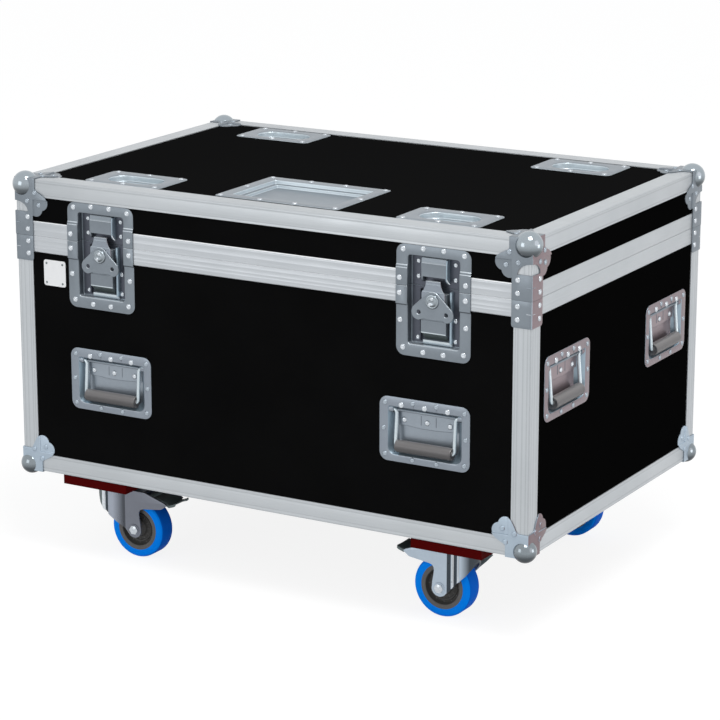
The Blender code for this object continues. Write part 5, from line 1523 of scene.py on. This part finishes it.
@dataclass(frozen=True)
class SpringHandle:
    """A recessed handle: pressed dish with a riveted backplate, wire bail and rubber grip."""

    front_x: float = 0.2903
    front_z: float = 0.3167
    side_y: float = 0.1835
    side_z: float = 0.3973
    rim: Outline = Outline(0.0785, -0.0515, 0.0515, 0.014, 0.014, 7)
    pan: Outline = Outline(0.0633, -0.0401, 0.0353, 0.011, 0.003, 7)
    base: Outline = Outline(0.0535, -0.0330, 0.0340, 0.011, 0.003, 7)
    depth: float = 0.014
    bend: float = 0.0024
    floor_start: float = 0.0115
    back_depth: float = 0.0100
    boss_x: float = 0.0590
    pivot_depth: float = 0.0052
    pivot_up: float = 0.0303
    wire: float = 0.003
    wire_half: float = 0.051
    wire_end: float = 0.0617
    wire_bend: float = 0.0055
    grip: float = 0.0099
    grip_half: float = 0.0485
    grip_depth: float = 0.0004
    grip_up: float = -0.0263
    small_rivet: Pair = (0.0041, 0.0017)
    big_rivet: Pair = (0.0047, 0.0023)

    def places(self) -> list[tuple[str, Matrix, str]]:
        """Return each handle's name, placing matrix and the rubber's grain."""
        found = []
        for word, side in SIDES:
            spot = Matrix.Translation((side * self.front_x, -PANEL_Y, self.front_z))
            found.append(("front_" + word, spot, "grip"))
            turn = Matrix.Rotation(math.radians(side * 90), 4, "Z")
            for place, end in (("front", -1), ("rear", 1)):
                spot = Matrix.Translation((side * PANEL_X, end * self.side_y, self.side_z))
                found.append((word + "_" + place, spot @ turn, "grip_side"))
        return found

    def dish(self, place: Matrix, word: str) -> None:
        """Build a dish with its backplate, wire bosses and rivets."""
        side = "" if word.startswith("right") else "_left"
        floor = "zinc_floor" + side
        work = Work("zinc_pale" + side, "rivet", "rivet_soft", "zinc_painted_shade", "zinc_blue", floor,
                    place=place)
        rings = press(self.rim, ((self.pan, self.base, self.depth),), -PROUD, self.bend)
        # The walls take the lit finish, a painted reflection; the floor, and the backplate below,
        # a lighter finish, painted light against the recess's shade.
        work.sheet(rings, walls="zinc_blue", deep=(self.floor_start, floor))
        face = self.back_depth
        back = mm((-54.6, 6), (-13, 3), (13, 3), (54.6, 6), (54.8, 34.5), (-54.8, 34.5))
        work.slab(back, face, self.depth + 0.0002, "Y", 0.0008, floor)
        # Two slits in the backplate, drawn as thin dark strips: painted shade.
        for x in (-0.0115, 0.0145):
            slit = [(x + a, b) for a, b in mm((-0.6, 24), (0.6, 24), (0.6, 9), (-0.6, 9))]
            work.slab(slit, face - 0.0005, face + 0.0004, "Y", 0.0003, "zinc_painted_shade")
        boss = mm((0, -3), (4.8, -3), (5.2, -2.2), (5.2, 6), (0, 6))
        crescent = arc((0, 0), 0.0019, -100, 120, 8) + arc((0, 0), 0.0010, 120, -100, 8)
        for way in (-1, 1):
            centre = (way * self.boss_x, self.pivot_depth, self.pivot_up)
            work.turned(boss, centre, (way, 0, 0), 20)
            # A dark crescent at the foot of each small upper rivet: a painted shadow.
            mark = [(way * 0.0200 + a, 0.0395 + b) for a, b in crescent]
            work.slab(mark, -PROUD - 0.0004, -PROUD + 0.0002, "Y", 0.0001, "zinc_painted_shade")
        soft = mm((-69, 41), (69, 41), (-69, -41.1), (69, -41.1), (-71.2, 0), (71.2, 0),
                  (-20.5, -45.3), (21.5, -45.3), (-20.5, 45), (20.5, 45))
        work.rivets([(x, -PROUD, z) for x, z in soft], FRONT, *self.small_rivet, "rivet_soft")
        work.rivets([(x, -PROUD, 0.0400) for x in (-0.0405, 0.0, 0.0400)], FRONT, *self.big_rivet)
        work.rivets([(x, face, 0.0140) for x in (-0.0410, -0.0010, 0.0390)], FRONT,
                    *self.big_rivet)
        work.piece("handle_pressed_dish_" + word, "case", "handle_dish_" + word)

    def bail(self, place: Matrix, word: str, grain: str) -> None:
        """Build a wire bail with its rubber grip and pivot rod."""
        work = Work("wire", grain, "zinc_flat", place=place)
        top = Vector((0, self.pivot_depth, self.pivot_up))
        low = Vector((0, self.grip_depth, self.grip_up))
        half, bend, way = self.wire_half, self.wire_bend, (low - top).normalized()
        turns = [math.pi / 2 * k / 6 for k in range(7)]
        path = [top + Vector((x, 0, 0)) for x in (self.wire_end, self.wire_end - 0.002)]
        path += [top + Vector((half + bend * (1 - math.sin(turn)), 0, 0))
                 + way * bend * (1 - math.cos(turn)) for turn in turns]
        path += [low + Vector((half - bend * (1 - math.cos(turn)), 0, 0))
                 - way * bend * (1 - math.sin(turn)) for turn in turns]
        path += [Vector((-point.x, point.y, point.z)) for point in reversed(path)]
        work.tube(path, self.wire)
        rod = [top + Vector((x, 0, 0)) for x in (-half, -half + 0.001, half - 0.001, half)]
        work.tube(rod, self.wire * 0.75, 16, "zinc_flat")
        radius, reach = self.grip, self.grip_half
        profile = [(0.0, -reach), (0.0042, -reach), (0.0046, -reach + 0.0008),
                   (0.0076, -reach + 0.0005), (radius - 0.0006, -reach), (radius, -reach + 0.0009)]
        waist = [(radius - 0.0001 * math.sin(math.pi * k / 8),
                  -reach + 0.0035 + (2 * reach - 0.007) * k / 8) for k in range(9)]
        work.turned(profile + waist + flipped(profile, False), low, (1, 0, 0), 32, grain)
        work.piece("handle_bail_wire_" + word, "bail_" + word, "handle_bail_" + word)

    def build(self) -> None:
        """Build all six handles."""
        for word, place, grain in self.places():
            self.dish(place, word)
            self.bail(place, word, grain)


@dataclass(frozen=True)
class TopDishes:
    """Dishes let into the lid's top: four stacking dishes and the larger stepped one."""

    stack_x: float = 0.2885
    stack_y: float = 0.2285
    stack_rim: Outline = Outline(0.073, -0.046, 0.046, 0.010, 0.010, 8)
    stack_slot: Outline = Outline(0.049, -0.026, 0.026, 0.026, 0.026, 8)
    stack_depth: float = 0.0095
    slot_inset: float = 0.0036
    slot_corner: float = 0.0222
    label_y: float = -0.183
    label_rim: Outline = Outline(0.113, -0.086, 0.086, 0.006, 0.006, 5)
    label_step: Outline = Outline(0.092, -0.065, 0.065, 0.004, 0.004, 5)
    label_floor: Outline = Outline(0.084, -0.057, 0.057, 0.003, 0.003, 5)
    label_sinks: Pair = (0.0045, 0.0095)
    rivet: Pair = (0.0042, 0.0017)

    @staticmethod
    def laid(x: float, y: float) -> Matrix:
        """Return the matrix that lays a dish on the lid's top."""
        return Matrix.Translation((x, y, PANEL_TOP)) @ Matrix.Rotation(math.radians(-90), 4, "X")

    def stack(self, word: str, place: Matrix) -> None:
        """Build a stacking dish with its slot in a brighter finish, as painted light."""
        slot, depth, less = self.stack_slot, self.stack_depth, self.slot_inset
        work = Work("zinc_flat", "rivet", "slot", place=place)
        # The slot's walls and floor take a lighter finish: painted light.
        work.sheet(press(self.stack_rim, ((slot, depth),), -PROUD, 0.0024), walls="slot")
        floor = Outline(slot.half - less, slot.low + less, slot.high - less, self.slot_corner,
                        self.slot_corner, 8)
        work.slab(floor.points(), depth - 0.0004, depth + 0.0001, "Y", 0.0001, "slot")
        spots = [(x * 0.0615, z * 0.0385) for x in (-1, 1) for z in (-1, 1)]
        spots += [(0, z * 0.0385) for z in (-1, 1)]
        work.rivets([(x, -PROUD, z) for x, z in spots], FRONT, *self.rivet)
        work.piece("stacking_pressed_dish_" + word, "lid", "stacking_dish_" + word)

    def label(self, place: Matrix) -> None:
        """Build the large stepped dish."""
        work = Work("zinc_flat", "rivet", "slot_bright", place=place)
        levels = tuple(zip((self.label_step, self.label_floor), self.label_sinks))
        # The hollows' walls take a lighter finish: painted light.
        work.sheet(press(self.label_rim, levels, -PROUD, 0.0013, 3), walls="slot_bright")
        spots = [(x * 0.105, z * 0.079) for x in (-1, 1) for z in (-1, 0, 1)]
        spots += [(x * 0.032, z * 0.079) for x in (-1, 1) for z in (-1, 1)]
        work.rivets([(x, -PROUD, z) for x, z in spots], FRONT, *self.rivet)
        work.piece("label_pressed_dish", "lid", "label_dish")

    def build(self) -> None:
        """Build all five dishes."""
        for word, x_side, y_side in CORNERS:
            self.stack(word, self.laid(x_side * self.stack_x, y_side * self.stack_y))
        self.label(self.laid(0, self.label_y))


@dataclass(frozen=True)
class BarePlate:
    """The small white plate at the left of the front panel, left bare, with its four screws."""

    x: float = -0.3973
    z: float = 0.4873
    half: float = 0.0215
    corner: float = 0.004
    proud: float = 0.0014
    screw_x: float = 0.0158
    screw_z: float = 0.0159

    def build(self) -> None:
        """Build the plate and its screws."""
        work = Work("plate", "dark_steel", place=Matrix.Translation((self.x, -PANEL_Y, self.z)))
        plate = Outline(self.half, -self.half, self.half, self.corner, self.corner, 5)
        work.slab(plate.points(), -self.proud, 0.0002, "Y", 0.0004)
        screw = mm((0, -0.4), (1.8, -0.4), (1.8, 0.3), (1.3, 0.7), (0.6, 0.8), (0.5, 0.4),
                   (0, 0.4))
        for x in (-self.screw_x, self.screw_x):
            for z in (-self.screw_z, self.screw_z):
                work.turned(screw, (x, -self.proud, z), FRONT, 16, "dark_steel")
        work.piece("bare_white_plate", "case")


@dataclass(frozen=True)
class BackHinge:
    """The long hinge along the back: two leaves, turn-about knuckles and the pin."""

    axis_y: float = 0.3149
    radius: float = 0.0036
    length: float = 0.8
    knuckles: int = 5
    rings: int = 6
    rivets: int = 15
    rivet_row: float = 0.0135
    rivet: Pair = (0.0036, 0.0009)
    leaf_height: float = 0.021
    leaf_start: float = 0.0042
    easing: float = 0.0002

    def knuckle(self, work: Work, start: float, end: float, way: int) -> None:
        """Add a knuckle between two places along X, bent from its leaf and ringed."""
        face, hub = HALF_Y + GAP, self.axis_y
        near = self.leaf_start + 0.001
        bend = [(face, near), (face + SHEET, near), (face + SHEET, 0.0028), (hub, 0.0034),
                (hub, 0.0022), (face, 0.0018)]
        work.slab([(y, SPLIT_Z + way * z) for y, z in bend], start, end, "X", 0.0002)
        edge, radius, step = self.easing, self.radius, (end - start) / self.rings
        for k in range(self.rings):
            a, b = start + step * k, start + step * (k + 1)
            profile = [(0.0, a + edge), (radius - edge, a + edge), (radius, a + 2 * edge),
                       (radius, b - 2 * edge), (radius - edge, b - edge), (0.0, b - edge)]
            work.turned(profile, (0, hub, SPLIT_Z), (1, 0, 0), 24)

    def leaf(self, name: str, body: str, way: int, parity: int) -> None:
        """Build one leaf with its knuckles and rivets.

        Args:
            name: the solid's name.
            body: the body it rides on.
            way: -1 for the lower leaf, 1 for the upper one.
            parity: which knuckles are its own.
        """
        work = Work("drawn_x", "rivet")
        face, half = HALF_Y + GAP, self.length / 2
        low, high = sorted((SPLIT_Z + way * self.leaf_start, SPLIT_Z + way * self.leaf_height))
        work.block((-half, face, low), (half, face + SHEET, high), 0.0003)
        step = self.length / self.knuckles
        for number in range(parity, self.knuckles, 2):
            start = -half + number * step
            self.knuckle(work, start + 0.0004, start + step - 0.0004, way)
        if way < 0:
            pin = [(0.0, -0.3997), (0.0014, -0.3997), (0.0016, -0.3993)]
            work.turned(pin + flipped(pin, False), (0, self.axis_y, SPLIT_Z), (1, 0, 0), 16,
                        "rivet")
        spots = [(-half + self.length * (k + 0.5) / self.rivets, face + SHEET,
                  SPLIT_Z + way * self.rivet_row) for k in range(self.rivets)]
        work.rivets(spots, (0, 1, 0), *self.rivet)
        work.piece(name + "_strip", body, name)

    def build(self) -> None:
        """Build both leaves."""
        self.leaf("hinge_leaf_body", "case", -1, 0)
        self.leaf("hinge_leaf_lid", "lid", 1, 1)


@dataclass(frozen=True)
class Castor:
    """A swivel castor: plate with race and kingpin, pressed fork, wheel and brake pedal.

    The fork's lines are seen from above as X and Y, and from the side as X and height.
    """

    x: float = 0.329
    y: float = 0.230
    height: float = 0.130
    trail: float = 0.040
    wheel: float = 0.050
    half: float = 0.026
    cheek: float = 0.003
    top: float = -0.0121
    hole_x: float = 0.0415
    hole_y: float = 0.0315
    foot: float = 0.0137
    tyre_half: float = 0.0172
    rim: float = 0.0380
    # The hub's recess between these radii takes a darker finish: painted shade.
    recess: Pair = (0.0140, 0.0298)
    tread_start: float = 0.0462
    spokes: int = 12
    pivot: Triple = (-0.071, 0, -0.0205)

    @property
    def axle(self) -> Triple:
        """Where the axle lies from the middle of the plate."""
        return (-self.trail, 0, self.wheel - self.height)

    def plate(self, place: Matrix, word: str) -> None:
        """Build the fixed plate with its bolts, race and kingpin nut."""
        work = Work("zinc", "rivet", place=place)
        work.slab(Outline(0.052, -0.042, 0.042, 0.004, 0.004, 4).points(), -0.0033, -0.0003, "Z",
                  0.0005)
        race = mm((0, -0.8), (32.2, -0.8), (32.2, -5), (31, -6.2), (31, -8.5), (30, -10),
                  (28.2, -11.2), (26.2, -11.8), (0, -11.8))
        work.turned(race, sides=48)
        pin = mm((0, -1.5), (6, -1.5), (6, -20.5), (5.2, -22.3), (0, -22.3))
        work.turned(pin, sides=20, finish="rivet")
        nut = mm((0, -16.5), (9.2, -16.5), (10, -17), (10, -21.5), (9, -22.2), (0, -22.2))
        work.turned(nut, sides=6, finish="rivet")
        washer = mm((0, -0.6), (8, -0.6), (8, 0.8), (0, 0.8))
        bolt = mm((0, -0.6), (6.2, -0.6), (6.5, 0), (6.5, 3.4), (5.6, 4), (0, 4))
        for x in (-self.hole_x, self.hole_x):
            for y in (-self.hole_y, self.hole_y):
                work.turned(washer, (x, y, -0.0033), (0, 0, -1), 24)
                work.turned(bolt, (x, y, -0.0033), (0, 0, -1), 6, "rivet")
        work.piece("castor_top_plate_" + word, "case", "castor_plate_" + word)

    def plan(self, seam: float, broad: bool) -> list[Pair]:
        """Return the fork's front wall seen from above, with two pressed beads at its start.

        Args:
            seam: where the wall leaves the cheek.
            broad: whether it is the broad wall of the left castors.

        Returns:
            Its points from the front cheek to the back one.
        """
        beads = mm((-26.8, 0), (-25.5, 0.5), (-21.2, 2.8), (-20, 3), (-18.8, 2.5), (-15.8, 0.4),
                   (-14.8, 0), (-13.8, 0.4), (-10.4, 2.8), (-9.2, 3), (-8, 2.4), (-6.2, 1.2))
        front = [(x, -self.half + deep) for x, deep in [(seam, 0.0), *beads]]
        if not broad:
            return front + arc((-0.009, 0.0), self.half, -78, 78, 24) + flipped(front, False)
        bend = mm((0, -25.2), (12, -25.2), (24, -24.6))
        bend += arc((0.0240, -0.0135), 0.0110, -85, 0, 8) + arc((0.0240, 0.0150), 0.0110, 0, 80, 8)
        back = mm((23.2, 26.8), (20, 27.4), (18.8, 26.4), (17.6, 24.4), (13, 24.4), (11.8, 26.2),
                  (10.5, 27), (0, 27.5), (-10, 27.3), (-18, 26.6), (-22.5, 26))
        return front + bend + back + [(seam, self.half)]

    def pressed(self, work: Work, broad: bool) -> None:
        """Add the fork's pressed sheet: two flat cheeks joined by its front wall."""
        axle_x, _, axle_z = self.axle
        foot = arc((axle_x, axle_z), self.foot, 188, 311, 10)
        seam = foot[-1]
        cheek = [(-0.0620, self.top)]
        cheek += mm((-100, -24.5), (-105.2, -27.2), (-103, -30), (-96, -35.2), (-93, -36.5),
                    (-69, -39.8), (-58, -41.2), (-53, -43.2), (-50.3, -47), (-49.8, -52),
                    (-50.8, -60), (-52.6, -70)) + foot
        lower = [seam] + (mm((-21.9, -79.1), (-1.7, -68.5), (10.5, -60.5), (20.4, -52.6),
                             (28.2, -42), (32.5, -27), (36, -20.5)) if broad else
                          mm((-8.7, -66.8), (5, -53.5), (13.5, -41.5), (17, -34.5)))
        shape = bmesh.new()
        columns = []
        for x, y in self.plan(seam[0], broad):
            low = self.height_at(lower, x)
            columns.append([shape.verts.new((x, y, low + (self.top - low) * k / 4))
                            for k in range(5)])
        for first, second in zip(columns, columns[1:]):
            for k in range(4):
                shape.faces.new((first[k], second[k], second[k + 1], first[k + 1]))
        for column, y in ((columns[0], -self.half), (columns[-1], self.half)):
            shape.faces.new([shape.verts.new((a, y, b)) for a, b in cheek[:-1]] + column)
        Work.thicken(shape, (1, 0, 0), self.cheek, 0.0007)

        def choose(face: Face) -> str:
            """Return a face's finish by its place along the fork's beads and front wall."""
            middle = face.calc_center_median()
            # Painted light and shade: faces of the beads that look left are lit and those that
            # look right shaded; on the broad wall the finishes run lit with a painted shade ramp,
            # shaded, lit, then the dark pedal steel round the bend.
            if broad and middle.y > 0.0:
                for start, end, finish in ((-0.0225, 0.0118, "fork_wall"),
                                           (0.0118, 0.0180, "fork_dark"),
                                           (0.0180, 0.0235, "fork_bright"),
                                           (0.0235, 0.0400, "dark_steel")):
                    if start < middle.x < end:
                        return finish
            elif -0.0262 < middle.x < -0.0070 and abs(face.normal.x) > 0.3:
                return "fork_dark" if face.normal.x > 0 else "fork_bright"
            return ""

        work.add(shape, choose)

    def fork(self, place: Matrix, word: str) -> None:
        """Build the pressed fork with its head, gusset and axle bolt."""
        broad = word.endswith("left")
        # The left castors' forks take a darker copy of the finish: painted shade.
        work = Work("fork_left" if broad else "fork_right", "rivet", "fork_dark", "fork_bright",
                    "dark_steel", "fork_wall", place=place)
        self.pressed(work, broad)
        inner = self.half - 0.0012
        head = [(-0.060, inner), (-0.060, -inner)] + arc((-0.009, 0.0), inner, -90, 90, 24)
        bore = arc((0.0, 0.0), 0.0064, 0, 345, 23)
        work.slab(head, self.top - 0.004, self.top, "Z", 0.0009, holes=(bore,))
        shaft = mm((0, -26.2), (6, -26.2), (6, 26.2), (0, 26.2))
        work.turned(shaft, self.axle, (0, 1, 0), 24, "rivet")
        washer = mm((0, -1), (10, -1), (10, 0.6), (9.4, 1.1), (0, 1.1))
        head = mm((0, 0.6), (7.8, 0.6), (8, 1.2), (8, 2.6), (6.8, 3.4), (0, 3.5))
        end = mm((0, 0.6), (4.6, 0.6), (4.6, 3.2), (3.8, 3.6), (0, 3.6))
        for side in (-1, 1):
            spot = (self.axle[0], side * self.half, self.axle[2])
            work.turned(washer, spot, (0, side, 0), 32)
            work.turned(head, spot, (0, side, 0), 6, "rivet")
            work.turned(end, spot, (0, side, 0), 20, "rivet")
        if not broad:
            gusset = mm((26.2, -27.2), (28, -28.8), (16.5, -41.2), (2.2, -54.8), (-6, -61.5),
                        (-10, -59), (-4, -51), (10.5, -36.5))
            work.slab(gusset, self.half - 0.0022, self.half, "Y", 0.0003, "dark_steel")
        work.piece("castor_pressed_fork_" + word, "fork_" + word, "castor_fork_" + word)

    @staticmethod
    def height_at(line: Sequence[Pair], x: float) -> float:
        """Return the height of a falling or rising line at a distance along X."""
        for first, second in zip(line, line[1:]):
            if x <= second[0]:
                share = (x - first[0]) / (second[0] - first[0])
                return first[1] + (second[1] - first[1]) * share
        return line[-1][1]

    def roller(self, place: Matrix, word: str) -> None:
        """Build the wheel: blue tyre on a moulded hub with a raised ring and boss."""
        axle = place @ Matrix.Translation(self.axle)
        work = Work("tyre", "hub", "tread", "hub_dark", place=axle)
        half, rim, tread = self.tyre_half, self.rim, self.wheel
        tyre = [(rim - 0.001, -half + 0.0006), (rim + 0.0004, -half),
                (tread - 0.0052, -half + 0.0001)]
        tyre += arc((tread - 0.0050, -half + 0.0052), 0.0050, -80, -8, 6)
        self.ringed(work, tyre + [(tread, 0.0)] + flipped(tyre, False), True)
        hub = mm((6.6, -22.4), (12, -22.4), (13, -21.4), (13.8, -12), (16, -9.2), (20.5, -8.6),
                 (21.5, -10.4), (23.5, -10.8), (25, -9), (27.2, -8.6), (29, -12), (29.8, -15.8),
                 (30.8, -16.6), (38.2, -16.6))
        self.ringed(work, hub + flipped(hub, False), False)
        for k in range(self.spokes):
            work.place = axle @ Matrix.Rotation(math.tau * k / self.spokes, 4, "Y")
            for side in (-1, 1):
                work.block((0.0125, side * 0.0078, -0.0008), (0.0280, side * 0.0096, 0.0008),
                           0.0003, "hub")
        work.piece("castor_roller_" + word, "wheel_" + word, "castor_wheel_" + word)

    def ringed(self, work: Work, profile: Sequence[Pair], tyre: bool, sides: int = 72) -> None:
        """Add a closed ring turned about local Y.

        Args:
            work: the mesh that takes it.
            profile: its radii and widths.
            tyre: whether it is the tyre, or else the hub.
            sides: facets round it.
        """
        def choose(face: Face) -> str:
            """Return a face's finish by its distance from the axle."""
            middle = face.calc_center_median()
            reach = math.hypot(middle.x, middle.z)
            if tyre:
                return "tread" if reach > self.tread_start and abs(face.normal.y) < 0.6 else "tyre"
            # Painted shade: the hub's recess takes a darker finish.
            return "hub_dark" if self.recess[0] < reach < self.recess[1] else "hub"

        turns = [math.tau * k / sides for k in range(sides)]
        shape = bmesh.new()
        Work.strips(shape, [[Vector((radius * math.cos(turn), width, radius * math.sin(turn)))
                             for turn in turns] for radius, width in profile], around=True)
        bmesh.ops.recalc_face_normals(shape, faces=shape.faces)
        work.add(shape, choose)

    def pedal(self, place: Matrix, word: str) -> None:
        """Build a brake pedal: flared tread with folded sides, pivot sleeve and brake shoe."""
        work = Work("dark_steel", "rivet", place=place @ Matrix.Translation(self.pivot))
        shape = bmesh.new()
        rows = mm((3.5, 2.2, 20.5), (-12, 1, 20.7), (-26, -3.2, 21), (-36, -7.6, 21),
                  (-45.5, -4.4, 21), (-48, -2.6, 20.8))
        section = ((-1.0, 0.0046), (-0.985, 0.0012), (-0.93, 0.0), (-0.5, 0.0003), (0.0, 0.0005),
                   (0.5, 0.0003), (0.93, 0.0), (0.985, 0.0012), (1.0, 0.0046))
        grid = [[shape.verts.new((x, share * half, z - drop)) for share, drop in section]
                for x, z, half in rows]
        for first, second in zip(grid, grid[1:]):
            for k in range(len(section) - 1):
                shape.faces.new((first[k], first[k + 1], second[k + 1], second[k]))
        Work.thicken(shape, (0, 0, 1), 0.0018, 0.0004)
        work.add(shape)
        sleeve = mm((0, -20.5), (5, -20.5), (5.5, -20), (5.5, 20), (5, 20.5), (0, 20.5))
        work.turned(sleeve, axis=(0, 1, 0), sides=24)
        pin = mm((0, -24.5), (2.8, -24.5), (2.8, 24.5), (0, 24.5))
        work.turned(pin, axis=(0, 1, 0), sides=16, finish="rivet")
        shoe = mm((-4, -1), (4, -1), (3.6, -14.5), (2.4, -15.3), (-2.4, -15.3), (-3.6, -14.5))
        work.slab(shoe, -0.0172, 0.0172, "Y", 0.0006)
        work.piece("brake_tread_" + word, "pedal_" + word, "brake_pedal_" + word)

    def build(self) -> None:
        """Build all four castors and the two brakes at the front."""
        for corner, x_side, y_side in CORNERS:
            place = Matrix.Translation((x_side * self.x, y_side * self.y, self.height))
            if x_side < 0:
                place = place @ Matrix.Rotation(math.pi, 4, "Z")
            for part in (self.plate, self.fork, self.roller):
                part(place, corner)
            if y_side < 0:
                self.pedal(place, corner.split("_")[1])


@dataclass(frozen=True)
class Studio:
    """Pale floor, soft lamps, white surroundings and the camera at the photograph's angle."""

    location: Triple = (2.2498, -3.9032, 1.5322)
    azimuth: float = 29.98
    elevation: float = 15.03
    lens: float = 139.74
    sensor: float = 36.0
    view_end: float = 200.0
    floor_half: float = 40.0
    fill: float = 0.58
    fill_colour: Triple = (0.97, 0.985, 1.0)
    middle: Triple = (0, 0, 0.4)

    def floor(self) -> None:
        """Lay the floor."""
        half = self.floor_half
        mesh = bpy.data.meshes.new("studio_floor")
        mesh.from_pydata([(-half, -half, 0), (half, -half, 0), (half, half, 0), (-half, half, 0)],
                         [], [(0, 1, 2, 3)])
        mesh.materials.append(Finishes.get("floor"))
        put("studio_floor", mesh)

    def surroundings(self) -> None:
        """Make the world: white to the camera and in reflections, softer as a light."""
        world = bpy.data.worlds.new("studio_surroundings")
        bpy.context.scene.world = world
        world.use_nodes = True
        world.node_tree.nodes.clear()
        nodes = Nodes(world.node_tree)
        white = nodes.node("ShaderNodeBackground", {"Color": (1, 1, 1, 1), "Strength": 1.0})
        soft = nodes.node("ShaderNodeBackground", {"Color": (*self.fill_colour, 1),
                                                   "Strength": self.fill})
        mixed = nodes.node("ShaderNodeMixShader", {0: nodes.seen(), 1: soft.outputs[0],
                                                   2: white.outputs[0]})
        nodes.node("ShaderNodeOutputWorld", {"Surface": mixed.outputs[0]})

    @staticmethod
    def lamp(name: str, kind: str, spot: Triple, target: Triple, colour: Triple,
             **values: float) -> None:
        """Add a lamp aimed at a point.

        Args:
            name: the lamp's name.
            kind: SUN or AREA.
            spot: where it hangs.
            target: where it points.
            colour: of its light.
            values: the lamp's own settings.
        """
        light = bpy.data.lights.new(name, kind)
        light.color = colour
        for key, value in values.items():
            setattr(light, key, value)
        thing = put(name, light)
        thing.location = spot
        thing.rotation_euler = (Vector(target) - Vector(spot)).to_track_quat("-Z", "Y").to_euler()

    def lamps(self) -> None:
        """Hang the soft key, the side fill and two window lamps."""
        self.lamp("key_panel", "AREA", (1.4, -1.3, 3.9), self.middle, (1.0, 0.995, 0.985),
                  energy=74.0, size=1.6)
        self.lamp("side_sun", "SUN", (5.0, 0.3, 1.8), self.middle, (1.0, 0.88, 0.90), energy=0.2,
                  angle=math.radians(40))
        self.lamp("window_left", "AREA", (-1.2, -3.1, 1.0), self.middle, (1, 1, 1), energy=11.0,
                  size=1.6)
        self.lamp("window_right", "AREA", (2.5, 0.45, 0.35), (0.4, 0.0, 0.45), (1, 1, 1),
                  energy=4.5, size=0.85)

    def camera(self) -> None:
        """Set up the camera."""
        data = bpy.data.cameras.new("photograph_camera")
        data.lens = self.lens
        data.sensor_width = self.sensor
        data.clip_end = self.view_end
        thing = put("photograph_camera", data)
        turn, rise = math.radians(self.azimuth), math.radians(self.elevation)
        back = Vector((math.sin(turn) * math.cos(rise), -math.cos(turn) * math.cos(rise),
                       math.sin(rise)))
        thing.location = self.location
        thing.rotation_euler = back.to_track_quat("Z", "Y").to_euler()
        bpy.context.scene.camera = thing

    def build(self) -> None:
        """Set up the whole studio."""
        self.floor()
        self.surroundings()
        self.lamps()
        self.camera()
        bpy.context.scene.view_settings.view_transform = "Standard"
        log.info("studio set up")


def main() -> None:
    """Build the studio and every sub-assembly of the case, in order."""
    logging.basicConfig(level=logging.INFO, format="%(name)s: %(message)s")
    for part in (Studio, Panels, EdgeProfiles, BallCorner, ButterflyLatch, SpringHandle, TopDishes,
                 BarePlate, BackHinge, Castor):
        part().build()


if __name__ == "__main__":
    main()
